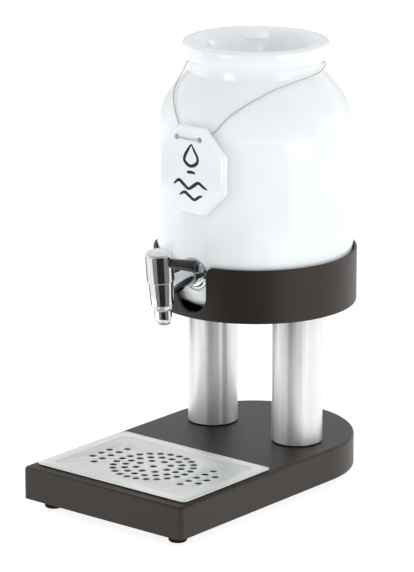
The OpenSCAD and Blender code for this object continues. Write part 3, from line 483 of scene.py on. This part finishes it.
seatLine = [(0, tapPose["cutFrom"]), (jar["seatR"], tapPose["cutFrom"]), (jar["seatR"], tapPose["seatAt"]),
            (0, tapPose["seatAt"])]
seatCutter = addPiece("seatCutter", *onTap(lathe(seatLine, (0, 0, 0), "Y", 96)), porcelain)
cutAway(jarPiece, seatCutter)
jarPiece.data.set_sharp_from_angle(angle=math.radians(35))
place(jarPiece, "jar", "white_porcelain", "jar")
bossLine = softCorners([(jar["bossR"], tapPose["bossFrom"], 0),
                        (jar["bossR"], tapPose["bossAt"], tapPose["bossEdge"]), (0, tapPose["bossAt"], 0)])
jarBoss = addPiece("jarInnerBoss", *onTap(lathe(bossLine, (0, 0, 0), "Y", 96)), porcelain)
place(jarBoss, "jar", "white_porcelain")

# Dished lid with a mushroom knob
lid = {"r": 71.6, "lowR": 71.3, "lowEdge": 0.5, "swellZ": 3.5, "swell": 6, "edgeH": 8.3, "edge": 3.5, "wall": 57,
       "seatEdge": 0.6, "under": 52, "plugEdge": 3, "dish": 53.5, "dishLow": 45.5, "depth": 26, "dishEdge": 10,
       "dishRound": 14, "t": 5, "stem": 6.75, "flare": 3, "knob": 13, "rise": 11, "dome": 7.5, "low": 2.5,
       "lowAngle": -40, "taperAngle": 36}


def lidProfile():
    floor, wideZ = lid["edgeH"] - lid["depth"], lid["edgeH"] + lid["rise"] - lid["dome"]
    low, turn = math.radians(lid["lowAngle"]), math.radians(lid["taperAngle"])
    taperR = (lid["knob"] * math.cos(low) - lid["stem"]) / (1 - math.cos(turn))
    taperZ = wideZ + lid["low"] * math.sin(low) - taperR * math.sin(turn)
    line = softCorners([
        (0, floor - lid["t"], 0), (lid["under"], floor - lid["t"], lid["plugEdge"]),
        (lid["wall"], floor, lid["plugEdge"]), (lid["wall"], 0, lid["seatEdge"]), (lid["lowR"], 0, lid["lowEdge"]),
        (lid["r"], lid["swellZ"], lid["swell"]), (lid["r"], lid["edgeH"], lid["edge"]),
        (lid["dish"], lid["edgeH"], lid["dishEdge"]), (lid["dishLow"], floor, lid["dishRound"]),
        (lid["stem"] + lid["flare"] + 1, floor, 0)], 14)
    line += arc(lid["stem"] + lid["flare"], floor + lid["flare"], lid["flare"], -90, -180, 8)
    line += arc(lid["stem"] + taperR, taperZ, taperR, 180, 180 - lid["taperAngle"], 10)
    domeSteps = 26
    for k in range(1, domeSteps + 1):
        a = low + (math.pi / 2 - low) * k / domeSteps
        line.append((lid["knob"] * math.cos(a), wideZ + (lid["low"] if a < 0 else lid["dome"]) * math.sin(a)))
    line[-1] = (0, line[-1][1])
    return line


lidZ = jar["z"] + jar["rim"][1]
lidPiece = addPiece("dishedLid", *lathe(lidProfile(), (0, axisY, lidZ), sides=160), porcelain)
place(lidPiece, "lid", "white_porcelain", "lid")
print("jar and lid made")

# Hanging plate with soft glazed edges and two holes; its edge runs from back to front as (inset, depth)
tag = {"w": 82, "h": 86, "t": 5, "cut": 25, "x": 4, "top": 369.5, "backY": -31.6, "corner": 3,
       "edge": [(1.2, 0), (0.5, 0.2), (0.1, 0.7), (0, 1.2), (0, 2.2), (0.2, 2.9), (0.7, 3.5), (1.5, 4.05),
                (2.6, 4.5), (3.8, 4.82), (5.0, 5)],
       "holeR": 2.75, "holeZ": 357.5, "holeX": (-14, 14), "holeSides": 40,
       "holeEdge": [(0.7, 0.0), (0.35, 0.1), (0.1, 0.35), (0.0, 0.7)]}


def tagLoop(inset, y):
    w, h = tag["w"] / 2 - inset, tag["h"] / 2 - inset
    cut = tag["cut"] - inset * (2 - math.sqrt(2))
    corners = [(w, cut - h), (w, h - cut), (w - cut, h), (cut - w, h),
               (-w, h - cut), (-w, cut - h), (cut - w, -h), (w - cut, -h)]
    ring = [corners[-1] + (0,)] + [c + (tag["corner"],) for c in corners] + [corners[0] + (0,)]
    line = softCorners(ring, 4)[1:-1]
    midZ = tag["top"] - tag["h"] / 2
    return [(tag["x"] + x, y, midZ + z) for x, z in line]


def tagMesh():
    back, sides = tag["backY"], tag["holeSides"]
    loops = [tagLoop(inset, back - depth) for inset, depth in tag["edge"]]
    parts = [loft(loops)]
    mouthR = tag["holeR"] + tag["holeEdge"][0][0]
    for loop in (loops[0], loops[-1]):
        holes = [[(x + u, loop[0][1], tag["holeZ"] + v) for u, v, flat in ringOfPoints((0, 0), mouthR, 0, sides)]
                 for x in tag["holeX"]]
        parts.append(filled(loop, holes))
    bore = [(tag["holeR"] + grow, -depth) for grow, depth in tag["holeEdge"]]
    bore += [(r, -tag["t"] - along) for r, along in reversed(bore)]
    parts += [lathe(bore, (x, back, tag["holeZ"]), "Y", sides) for x in tag["holeX"]]
    return joined(*parts)


tagPiece = addPiece("hangingPlate", *tagMesh(), porcelain, sharp=50)
place(tagPiece, "tag", "white_porcelain", "tag")

# Brushwork on the plate: a drop above a dash and two ripples; strokes are (across, up, share of width)
brushwork = {"width": 3.2, "lift": 0.06, "strokes": [
    [(4, 352, 0.5), (0, 346, 0.9), (-3.5, 340, 1.0), (-4, 335.5, 1.0), (0, 332, 1.1), (4, 331, 1.0),
     (8.5, 332.5, 1.1), (12, 336, 1.0), (11.5, 341, 0.9), (8, 346.5, 0.8), (4.5, 352.5, 0.4)],
    [(-1, 324.5, 0.7), (4, 325, 1.0), (9, 324.6, 0.6)],
    [(-17, 311, 0.5), (-11, 315.5, 1.0), (-5, 312, 1.1), (1, 308.5, 0.9), (7, 312, 1.1), (13, 315.5, 1.0),
     (19, 312.5, 0.9), (24, 310.5, 0.4)],
    [(-10, 301, 0.4), (-4, 304.5, 1.0), (2, 301.5, 1.0), (8, 298.5, 0.9), (14, 302, 0.9), (18, 303.5, 0.4)]]}


def strokeMesh(knots, y):
    path = smoothRoute([(x, share, z) for x, z, share in knots], 8)
    left, right = [], []
    for k, p in enumerate(path):
        ahead = path[min(k + 1, len(path) - 1)] - path[max(k - 1, 0)]
        side = Vector((-ahead.z, ahead.x)).normalized() * brushwork["width"] / 2 * p.y
        left.append((p.x + side.x, y, p.z + side.y))
        right.append((p.x - side.x, y, p.z - side.y))
    count = len(path)
    return left + right, [[k, k + 1, count + k + 1, count + k] for k in range(count - 1)]


inkY = tag["backY"] - tag["t"] - brushwork["lift"]
inkPiece = addPiece("plateBrushwork", *joined(*[strokeMesh(s, inkY) for s in brushwork["strokes"]]), brushInk)
place(inkPiece, "tag", "white_porcelain")
print("hanging plate made")

# Tap: turned body with a barrel, nozzle, turning head and lever
tap = {"seam": 8.9, "drop": 14, "lowR": 11.2, "seamR": 12, "bodyBore": 8.5, "socketR": 9.15, "socketH": 6.5,
       "stemR": 4.1, "barrelFrom": 5, "barrelR": 9, "rootR": 8.7, "shankR": 8, "shankEnd": 71.57, "shankBore": 4,
       "boreFloor": 60, "flangeAt": 47.87, "flangeR": 15.5, "flangeT": 3.4, "flangeBore": 8.1,
       "spigotTop": -10, "spigotR": 8.35, "collarEnd": -20, "nozzleR": 8.8, "nozzleStep": 0.4, "drawFrom": -26.4,
       "nozzleEnd": -34.6, "tipR": 6.2, "tipEdge": 1.4, "boreR": 4.2, "headLow": 9.2, "headTop": 37.9,
       "headR": 13.5, "headEdge": 3.5, "headBore": 4, "headSocketR": 9.45, "capR": 9, "capT": 2.4, "capGap": 0.1,
       "leverZ": 27.5, "leverFrom": 13, "leverReach": 40, "leverRest": 12, "leverRootR": 4.7, "leverEndR": 6}
socketTop = tap["seam"] + tap["socketH"]
bodyLine = softCorners([(tap["bodyBore"], -tap["drop"], 0), (tap["lowR"], -tap["drop"], 0.3),
                        (tap["seamR"], tap["seam"], 0.5), (tap["socketR"], tap["seam"], 0.1),
                        (tap["socketR"], socketTop, 0.3), (tap["stemR"], socketTop, 0)], 4)
barrelLine = softCorners([(0, tap["barrelFrom"], 0), (tap["barrelR"], tap["barrelFrom"], 0),
                          (tap["barrelR"], tap["flangeAt"], 0.3), (tap["shankR"], tap["flangeAt"], 0.1),
                          (tap["shankR"], tap["shankEnd"], 0.8), (tap["shankBore"], tap["shankEnd"], 0),
                          (tap["shankBore"], tap["boreFloor"], 0)], 6)
barrelPoints, barrelFaces = lathe(barrelLine, (0, 0, 0), "Y", 96)
# the barrel's root is hollowed so that the valve plug turns clear of it
barrelPoints = [(x, max(y, math.sqrt(max(tap["rootR"] ** 2 - x * x, tap["barrelFrom"] ** 2))), z)
                for x, y, z in barrelPoints]
bodyMesh = joined(lathe(bodyLine, (0, 0, 0), "Z", 96), (barrelPoints, barrelFaces))
tapBody = addPiece("tapBody", *onTap(bodyMesh), chrome)
place(tapBody, "jar", "chrome_plate", "tap_body")

# the nozzle steps in below its collar and is drawn in to its tip
nozzleR, drawH = tap["nozzleR"] - tap["nozzleStep"], tap["drawFrom"] - tap["nozzleEnd"]
drawIn = nozzleR - tap["tipR"]
drawR = (drawH ** 2 + drawIn ** 2) / (2 * drawIn)
drawn = arc(nozzleR - drawR, tap["drawFrom"], drawR, 0, -math.degrees(math.asin(drawH / drawR)), 12)
nozzleLine = softCorners([(tap["boreR"], tap["spigotTop"], 0), (tap["spigotR"], tap["spigotTop"], 0.3),
                          (tap["spigotR"], -tap["drop"], 0), (tap["lowR"], -tap["drop"], 0.4),
                          (tap["nozzleR"], tap["collarEnd"], 0.6), (nozzleR, tap["collarEnd"], 0.15),
                          drawn[0] + (0,)], 6)
nozzleTip = softCorners([drawn[-3] + (0,), drawn[-1] + (tap["tipEdge"],), (tap["boreR"], tap["nozzleEnd"], 0.5),
                         (tap["boreR"], tap["spigotTop"], 0)], 6)
nozzleLine += drawn[1:-2] + nozzleTip[1:]
tapNozzle = addPiece("tapNozzle", *onTap(lathe(nozzleLine, (0, 0, 0), "Z", 96)), chrome)
place(tapNozzle, "jar", "chrome_plate", "tap_nozzle")

# the flange has a flat rim and a soft cone up to the barrel
flangeBack = tap["flangeAt"] + tap["flangeT"]
flangeLine = softCorners([(tap["flangeBore"], flangeBack, 0), (tap["flangeR"], flangeBack, 0.3),
                          (tap["flangeR"], flangeBack - 1.4, 0.7), (tap["flangeR"] - 2.6, flangeBack - 1.9, 1.0),
                          (tap["flangeR"] - 4, tap["flangeAt"], 0.7), (tap["flangeBore"], tap["flangeAt"], 0)], 6)
tapFlange = addPiece("tapFlange", *onTap(lathe(flangeLine, (0, 0, 0), "Y", 128)), chrome)
place(tapFlange, "jar", "chrome_plate", "tap_flange")

# the head turns on the body, with a cap set into its top
headSocket, capLow = tap["headLow"] + tap["socketH"], tap["headTop"] - tap["capT"]
capHole = tap["capR"] + tap["capGap"]
headLine = softCorners([(tap["stemR"], headSocket, 0), (tap["headSocketR"], headSocket, 0.2),
                        (tap["headSocketR"], tap["headLow"], 0.2), (tap["headR"], tap["headLow"], 0.9),
                        (tap["headR"], tap["headTop"], tap["headEdge"]), (capHole, tap["headTop"], 0.12),
                        (capHole, capLow, 0), (tap["headBore"], capLow, 0)], 8)
tapHead = addPiece("tapHead", *onTap(lathe(headLine, (0, 0, 0), "Z", 128)), chrome)
place(tapHead, "tap_handle", "chrome_plate", "tap_head")
capLine = softCorners([(0, capLow, 0), (tap["capR"], capLow, 0.1), (tap["capR"], tap["headTop"], 0.15),
                       (0, tap["headTop"], 0)], 5)
tapCap = addPiece("tapCap", *onTap(lathe(capLine, (0, 0, 0), "Z", 128)), chrome)
place(tapCap, "tap_handle", "chrome_plate", "tap_cap")
leverLine = softCorners([(0, tap["leverFrom"], 0), (tap["leverRootR"], tap["leverFrom"], 0.3),
                         (tap["leverRootR"] + 0.1, tap["leverFrom"] + 4, 3),
                         (tap["leverEndR"], tap["leverReach"] - 4, 6), (tap["leverEndR"], tap["leverReach"], 2.6),
                         (0, tap["leverReach"], 0)], 8)
leverMesh = lathe(leverLine, (0, 0, tap["leverZ"]), "X", 64)
tapLever = addPiece("tapLever", *onTap(leverMesh, tap["leverRest"]), leverBlack)
place(tapLever, "tap_handle", "black_lever", "tap_lever")
print("tap made")

# Columns on thin gaskets
column = {"r": 25, "wall": 1.5, "x": 53.5, "low": 43, "high": 179, "edge": 0.5,
          "gasketLow": 42, "gasketBore": 4.5, "gasketEdge": 0.3}
tubeIn = column["r"] - column["wall"]
tubeLine = softCorners([(tubeIn, column["low"], 0), (column["r"], column["low"], column["edge"]),
                        (column["r"], column["high"], column["edge"]), (tubeIn, column["high"], 0)], 4)
tubeLine += [(tubeIn, column["high"]), (tubeIn, column["low"])]
for side, node in ((-1, "column_left"), (1, "column_right")):
    tube = addPiece(node + "Tube", *lathe(tubeLine, (side * column["x"], axisY, 0), sides=128), tubeSteel)
    place(tube, "stand", "brushed_stainless", node)
gasketLine = softCorners([(column["gasketBore"], column["gasketLow"], 0),
                          (column["r"], column["gasketLow"], column["gasketEdge"]),
                          (column["r"], column["low"], column["gasketEdge"]),
                          (column["gasketBore"], column["low"], 0)], 4)
gasketRings = [lathe(gasketLine, (side * column["x"], axisY, 0), sides=96) for side in (-1, 1)]
gaskets = addPiece("columnGaskets", *joined(*gasketRings), blackRubber)
place(gaskets, "stand", "black_rubber", "column_gaskets")

# Rubber feet, each with a sunk screw
foot = {"r": 9, "h": 10, "topEdge": 0.4, "lowEdge": 3.2, "sinkR": 4.5, "sinkH": 7, "boreR": 2.5,
        "spots": {"foot_front_left": (-78, -146), "foot_front_right": (78, -146),
                  "foot_rear_left": (-72.82, 94.95), "foot_rear_right": (72.82, 94.95)}}
footLine = softCorners([(foot["boreR"], foot["h"], 0), (foot["r"], foot["h"], foot["topEdge"]),
                        (foot["r"], 0, foot["lowEdge"]), (foot["sinkR"], 0, 0.6), (foot["sinkR"], foot["sinkH"], 0.3),
                        (foot["boreR"], foot["sinkH"], 0)], 8)
for node, (x, y) in foot["spots"].items():
    rubber = addPiece(node + "Rubber", *lathe(footLine, (x, y, 0), sides=64), blackRubber)
    place(rubber, "stand", "black_rubber", node)

# Cradle band with an open-topped notch, its edges broken
band = {"r": 100, "wall": 3, "low": 179, "high": 232, "notchW": 36, "rest": 5.5, "corner": 7, "edge": 0.6,
        "sides": 180}


def notchOutline():
    # the band's upper edge across the notch as (across, up), from left to right
    half = band["notchW"] / 2
    left = arc(-half - band["corner"], band["high"] - band["corner"], band["corner"], 90, 0, 9)
    bottom = arc(0, band["low"] + band["rest"] + half, half, 180, 360, 30)
    return left + bottom + [(-x, z) for x, z in reversed(left)]


def bandMesh():
    notch = [(math.asin(x / band["r"]), z) for x, z in notchOutline()]
    start, steps = notch[-1][0], band["sides"]
    around = [(start + (2 * math.pi - 2 * start) * k / steps, band["high"]) for k in range(1, steps)]
    points, faces, rims = [], [], []
    for r in (band["r"], band["r"] - band["wall"]):
        upper, lower, made = [], [], {}
        for angle, z in notch + around:
            x, y = r * math.sin(angle), axisY - r * math.cos(angle)
            upper.append(len(points))
            points.append((x, y, z))
            key = round(angle % (2 * math.pi), 7)  # points above each other share one on the lower edge
            if key not in made:
                made[key] = len(points)
                points.append((x, y, band["low"]))
            lower.append(made[key])
        rims.append((upper, lower))
    (upperOut, lowerOut), (upperIn, lowerIn) = rims
    count = len(upperOut)
    for k in range(count):
        n = (k + 1) % count
        faces.append([upperOut[k], upperOut[n], upperIn[n], upperIn[k]])
        if lowerOut[k] != lowerOut[n]:
            faces.append([lowerOut[k], lowerOut[n], lowerIn[n], lowerIn[k]])
            faces += [[lower[k], lower[n], upper[n], upper[k]] for upper, lower in rims]
    return points, faces


cradleBand = addPiece("cradleBand", *bandMesh(), umberLacquer, sharp=40)
bevel = cradleBand.modifiers.new("broken edges", "BEVEL")
bevel.width, bevel.segments, bevel.limit_method = band["edge"] * mm, 3, "ANGLE"
bevel.angle_limit, bevel.harden_normals = math.radians(50), True
place(cradleBand, "stand", "umber_lacquer", "cradle_ring")
print("stand made")

# Drip grid: a pressed plate with drain holes in rings and side rows
grid = {"w": 186, "l": 131, "y": -89, "low": 42.8, "t": 1.0, "corner": 5, "edge": 0.3, "fieldW": 164, "fieldL": 109,
        "fieldCorner": 7, "press": 0.7, "holeR": 3.75, "holeEdge": 0.35, "holeSides": 32, "rings": (8, 16, 24),
        "ringStep": 11.2, "sideRows": (5, 3), "sideX": 54.2, "rowStep": 12.4}


def drainHoles():
    spots = [(0.0, grid["y"])]
    for i, count in enumerate(grid["rings"]):
        radius = (i + 1.5) * grid["ringStep"]
        turns = [2 * math.pi * k / count for k in range(count)]
        spots += [(-radius * math.sin(a), grid["y"] + radius * math.cos(a)) for a in turns]
    for side in (-1, 1):
        for i, count in enumerate(grid["sideRows"]):
            x = side * (grid["sideX"] + i * grid["rowStep"])
            spots += [(x, grid["y"] + (k - (count - 1) / 2) * grid["rowStep"]) for k in range(count)]
    return spots


def gridMesh():
    at = (0, grid["y"])
    top, low, edge = grid["low"] + grid["t"], grid["low"], grid["edge"]
    fieldTop, fieldLow = top - grid["press"], low - grid["press"]

    def step(inset, z):
        return roundedLoop(grid["fieldW"] - 2 * inset, grid["fieldL"] - 2 * inset,
                           max(grid["fieldCorner"] - inset, 0.5), at, z)

    def rim(inset, z):
        return roundedLoop(grid["w"] - 2 * inset, grid["l"] - 2 * inset, grid["corner"] - inset, at, z)

    upper = [rim(edge, top), step(-0.7, top), step(-0.3, top - 0.05), step(0.0, top - 0.2),
             step(0.4, fieldTop + 0.2), step(0.7, fieldTop + 0.05), step(1.1, fieldTop)]
    under = [rim(edge, low), step(0.2, low), step(0.4, low - 0.15), step(0.9, fieldLow + 0.1), step(1.4, fieldLow)]
    outer = [rim(edge, low), rim(0.08, low + 0.08), rim(0, low + edge), rim(0, top - edge), rim(0.08, top - 0.08),
             rim(edge, top)]
    wall = [(grid["holeEdge"], fieldTop), (0.12, fieldTop - 0.08), (0, fieldTop - 0.3), (0, fieldLow)]
    holes = [[ringOfPoints(spot, grid["holeR"] + grow, z, grid["holeSides"]) for grow, z in wall]
             for spot in drainHoles()]
    parts = [loft(upper), loft(under), loft(outer)]
    parts.append(filled(upper[-1], [loops[0] for loops in holes]))
    parts.append(filled(under[-1], [loops[-1] for loops in holes]))
    return joined(*parts, *[loft(loops) for loops in holes])


gridPiece = addPiece("dripGrid", *gridMesh(), sheetSteel, sharp=50)
place(gridPiece, "drip_grid", "brushed_stainless", "drip_grid")

# Drip pan: folded, with a flange that carries the grid
pan = {"w": 165, "l": 110, "corner": 7.5, "t": 0.8, "flange": 6, "top": 42.8, "floor": 25}


def panMesh():
    at = (0, grid["y"])

    def loop(grow, z):
        return roundedLoop(pan["w"] + 2 * grow, pan["l"] + 2 * grow, max(pan["corner"] + grow, 0.5), at, z)

    top, floor, t = pan["top"], pan["floor"], pan["t"]
    reach = pan["flange"] + t
    inner = [loop(reach, top), loop(1.0, top), loop(0.3, top - 0.3), loop(0, top - 1.0), loop(0, floor + 3),
             loop(-0.9, floor + 0.9), loop(-3, floor)]
    outer = [loop(reach, top - t), loop(1.4, top - t), loop(0.8, top - t - 0.5), loop(0.8, floor + 2.5),
             loop(-0.4, floor - 0.2), loop(-2.6, floor - t)]
    return joined(loft(inner, capLast=True), loft(outer, capLast=True), loft([outer[0], inner[0]]))


panPiece = addPiece("dripPan", *panMesh(), panSteel, sharp=50)
place(panPiece, "drip_pan", "brushed_stainless", "drip_pan")
print("drip tray made")

# CAD nodes that stay, with their finish
finishes = {
    umberLacquer: ("base_plate", "cradle_floor"),
    blackRubber: ("jar_mat",),
    zincSteel: ("foot_screws", "column_lower_plugs", "column_upper_plugs", "column_base_screws",
                "column_base_washers", "column_top_screws", "head_screw", "lever_stud"),
    silicone: ("tap_outer_gasket", "tap_inner_gasket", "plug_rings"),
    tubeSteel: ("tap_washer", "tap_nut", "valve_plug"),
}
for material, nodes in finishes.items():
    for node in nodes:
        cad[node].data.materials.clear()
        cad[node].data.materials.append(material)

# Pale floor and soft studio light; a span gives where a change of the light starts and ends
studio = {"floor": "#9a9a99", "floorGlow": 0.88, "floorHalf": 9, "whiteGlow": 1.1, "windowGlow": 2.6,
          "front": (0.62, -0.78, 0), "horizon": 1.09, "zenith": 0.72, "tentSpan": (0.15, 0.7),
          "frontShade": 0.97, "frontSpan": (0.1, 0.9), "frontMirror": 0.5, "mirrorSpan": (0.0, 0.5),
          "stripSpan": (0, 0.12), "backMirror": 0.66, "backHeight": (0.19, 0.235), "backSpan": (0.5, 0.95)}
cloths = {name: newMaterial(name + "FlagCloth", **{"Base Color": toLinear(code), "Roughness": 1.0})[0]
          for name, code in (("umber", "#2b2624"), ("grey", "#a09d9a"), ("pale", "#b4b4b0"))}
for name in ("white", "window"):
    glow = {"Emission Color": (1, 1, 1, 1), "Emission Strength": studio[name + "Glow"]}
    cloths[name] = newMaterial(name + "Card", **glow)[0]


def stageSheet(name, points, faces, material):
    mesh = bpy.data.meshes.new(name)
    mesh.from_pydata(points, [], faces)
    mesh.materials.append(material)
    sheet = bpy.data.objects.new(name, mesh)
    bpy.context.scene.collection.objects.link(sheet)
    return sheet


def mirrorFlag(name, cloth, centre, angles, near, far, steps=12):
    # a sheet that only the shiny surfaces see: a strip round centre, from (radius, height) near to far
    points = []
    for k in range(steps + 1):
        a = math.radians(angles[0] + (angles[1] - angles[0]) * k / steps)
        points += [(centre[0] + r * math.cos(a), centre[1] + r * math.sin(a), z) for r, z in (near, far)]
    faces = [[2 * k, 2 * k + 1, 2 * k + 3, 2 * k + 2] for k in range(steps)]
    sheet = stageSheet(name, points, faces, cloths[cloth])
    sheet.visible_camera = sheet.visible_diffuse = sheet.visible_shadow = False


floorMaterial = newMaterial("paleStudioFloor", **{
    "Base Color": toLinear(studio["floor"]), "Roughness": 0.9, "Emission Color": (1, 1, 1, 1),
    "Emission Strength": studio["floorGlow"]})[0]
half = studio["floorHalf"]
floorCorners = [(-half, -half, 0), (half, -half, 0), (half, half, 0), (-half, half, 0)]
stageSheet("floor", floorCorners, [[0, 1, 2, 3]], floorMaterial)
tapSpot, jarSpot = (0, tapPose["at"][1] * mm), (0, axisY * mm)
flags = {
    "rearTapFlag": ("grey", tapSpot, (-218, -178), (0.2, 0.11), (0.2, 0.195)),
    "leftTapFlag": ("grey", tapSpot, (-108, -72), (0.12, 0.102), (0.12, 0.235)),
    "frontTapFlag": ("umber", tapSpot, (-72, -17), (0.12, 0.102), (0.12, 0.235)),
    "rightTapFlag": ("grey", tapSpot, (-17, 26), (0.12, 0.102), (0.12, 0.235)),
    "farFloorFlag": ("umber", jarSpot, (-142, -13), (1.1, 0.002), (7.0, 0.002)),
    "leftColumnCard": ("white", jarSpot, (-150, -86), (0.32, 0.045), (0.32, 0.1)),
    "midColumnCard": ("pale", jarSpot, (-86, -29), (0.32, 0.045), (0.32, 0.1)),
    "rightColumnCard": ("white", jarSpot, (-27, -4), (0.32, 0.045), (0.32, 0.1)),
    "leftWindow": ("window", jarSpot, (-106, -88), (1.35, 0.004), (2.9, 0.004)),
    "rightWindow": ("window", jarSpot, (-18, 13), (1.8, 0.004), (2.9, 0.004)),
    "dishWindow": ("window", jarSpot, (50, 70), (1.5, 0.5), (1.5, 0.74)),
}
for name, settings in flags.items():
    mirrorFlag(name, *settings)

softboxes = {
    "leftSoftbox": {"at": (-1.7, -1.1, 0.9), "aim": (0, 0, 0.3), "size": (1.0, 1.4), "power": 0.3},
    "rightSoftbox": {"at": (1.7, 0.5, 1.5), "aim": (0, 0.07, 0.4), "size": (1.0, 1.4), "power": 4.6},
    "topSoftbox": {"at": (0.2, 0.3, 2.6), "aim": (0, 0, 0.2), "size": (1.6, 1.6), "power": 0.8},
}
for name, box in softboxes.items():
    lamp = bpy.data.lights.new(name, "AREA")
    lamp.shape, lamp.energy = "RECTANGLE", box["power"]
    lamp.size, lamp.size_y = box["size"]
    light = bpy.data.objects.new(name, lamp)
    bpy.context.scene.collection.objects.link(light)
    light.location = box["at"]
    light.rotation_euler = (Vector(box["aim"]) - Vector(box["at"])).to_track_quat("-Z", "Y").to_euler()
    light.visible_glossy = False


def fade(span, start, end):
    # the stops of a ramp from one grey to another
    return [(at, [value] * 3 + [1]) for at, value in zip(span, (start, end))]


world = bpy.data.worlds.new("studio")
bpy.context.scene.world = world
world.use_nodes = True
worldTree = world.node_tree
worldTree.nodes.clear()
white = (1, 1, 1, 1)
blend = {"data_type": "RGBA"}
times = {"data_type": "RGBA", "blend_type": "MULTIPLY"}
way = addNode(worldTree, "ShaderNodeTexCoord").outputs["Generated"]
height = addNode(worldTree, "ShaderNodeSeparateXYZ", {0: way}).outputs["Z"]
front, rear = studio["front"], [-v for v in studio["front"]]
facing = addNode(worldTree, "ShaderNodeVectorMath", {0: way, 1: front}, operation="DOT_PRODUCT").outputs["Value"]
behind = addNode(worldTree, "ShaderNodeVectorMath", {0: way, 1: rear}, operation="DOT_PRODUCT").outputs["Value"]
ramps = {
    # a white tent, a little darker overhead and on the camera's side
    "tent": (height, studio["tentSpan"], studio["horizon"], studio["zenith"]),
    "frontShade": (facing, studio["frontSpan"], 1, studio["frontShade"]),
    # what only the shiny surfaces see: a dark room on the camera's side, above a bright strip
    "darkRoom": (facing, studio["mirrorSpan"], 1, studio["frontMirror"]),
    "strip": (height, studio["stripSpan"], 1, 0),
    # and a backdrop that is greyer low down behind the object
    "lowBack": (height, studio["backHeight"], studio["backMirror"], 1),
    "behindShare": (behind, studio["backSpan"], 0, 1),
}
shades = {name: addNode(worldTree, "ShaderNodeValToRGB", {"Fac": factor}, fade(*stops)).outputs["Color"]
          for name, (factor, *stops) in ramps.items()}
tent = addNode(worldTree, "ShaderNodeMix", {0: 1.0, 6: shades["tent"], 7: shades["frontShade"]}, **times).outputs[2]
room = addNode(worldTree, "ShaderNodeMix", {0: shades["strip"], 6: shades["darkRoom"], 7: white}, **blend).outputs[2]
backdrop = addNode(worldTree, "ShaderNodeMix", {0: shades["behindShare"], 6: white, 7: shades["lowBack"]},
                   **blend).outputs[2]
room = addNode(worldTree, "ShaderNodeMix", {0: 1.0, 6: room, 7: backdrop}, **times).outputs[2]
mirrored = addNode(worldTree, "ShaderNodeMix", {0: 1.0, 6: tent, 7: room}, **times).outputs[2]
ray = addNode(worldTree, "ShaderNodeLightPath").outputs
lit = addNode(worldTree, "ShaderNodeMix", {0: ray["Is Glossy Ray"], 6: tent, 7: mirrored}, **blend).outputs[2]
sky = addNode(worldTree, "ShaderNodeMix", {0: ray["Is Camera Ray"], 6: lit, 7: white}, **blend).outputs[2]
background = addNode(worldTree, "ShaderNodeBackground", {"Color": sky, "Strength": 1.0})
addNode(worldTree, "ShaderNodeOutputWorld", {"Surface": background.outputs[0]})
bpy.context.scene.view_settings.view_transform = "Standard"
print("studio made")
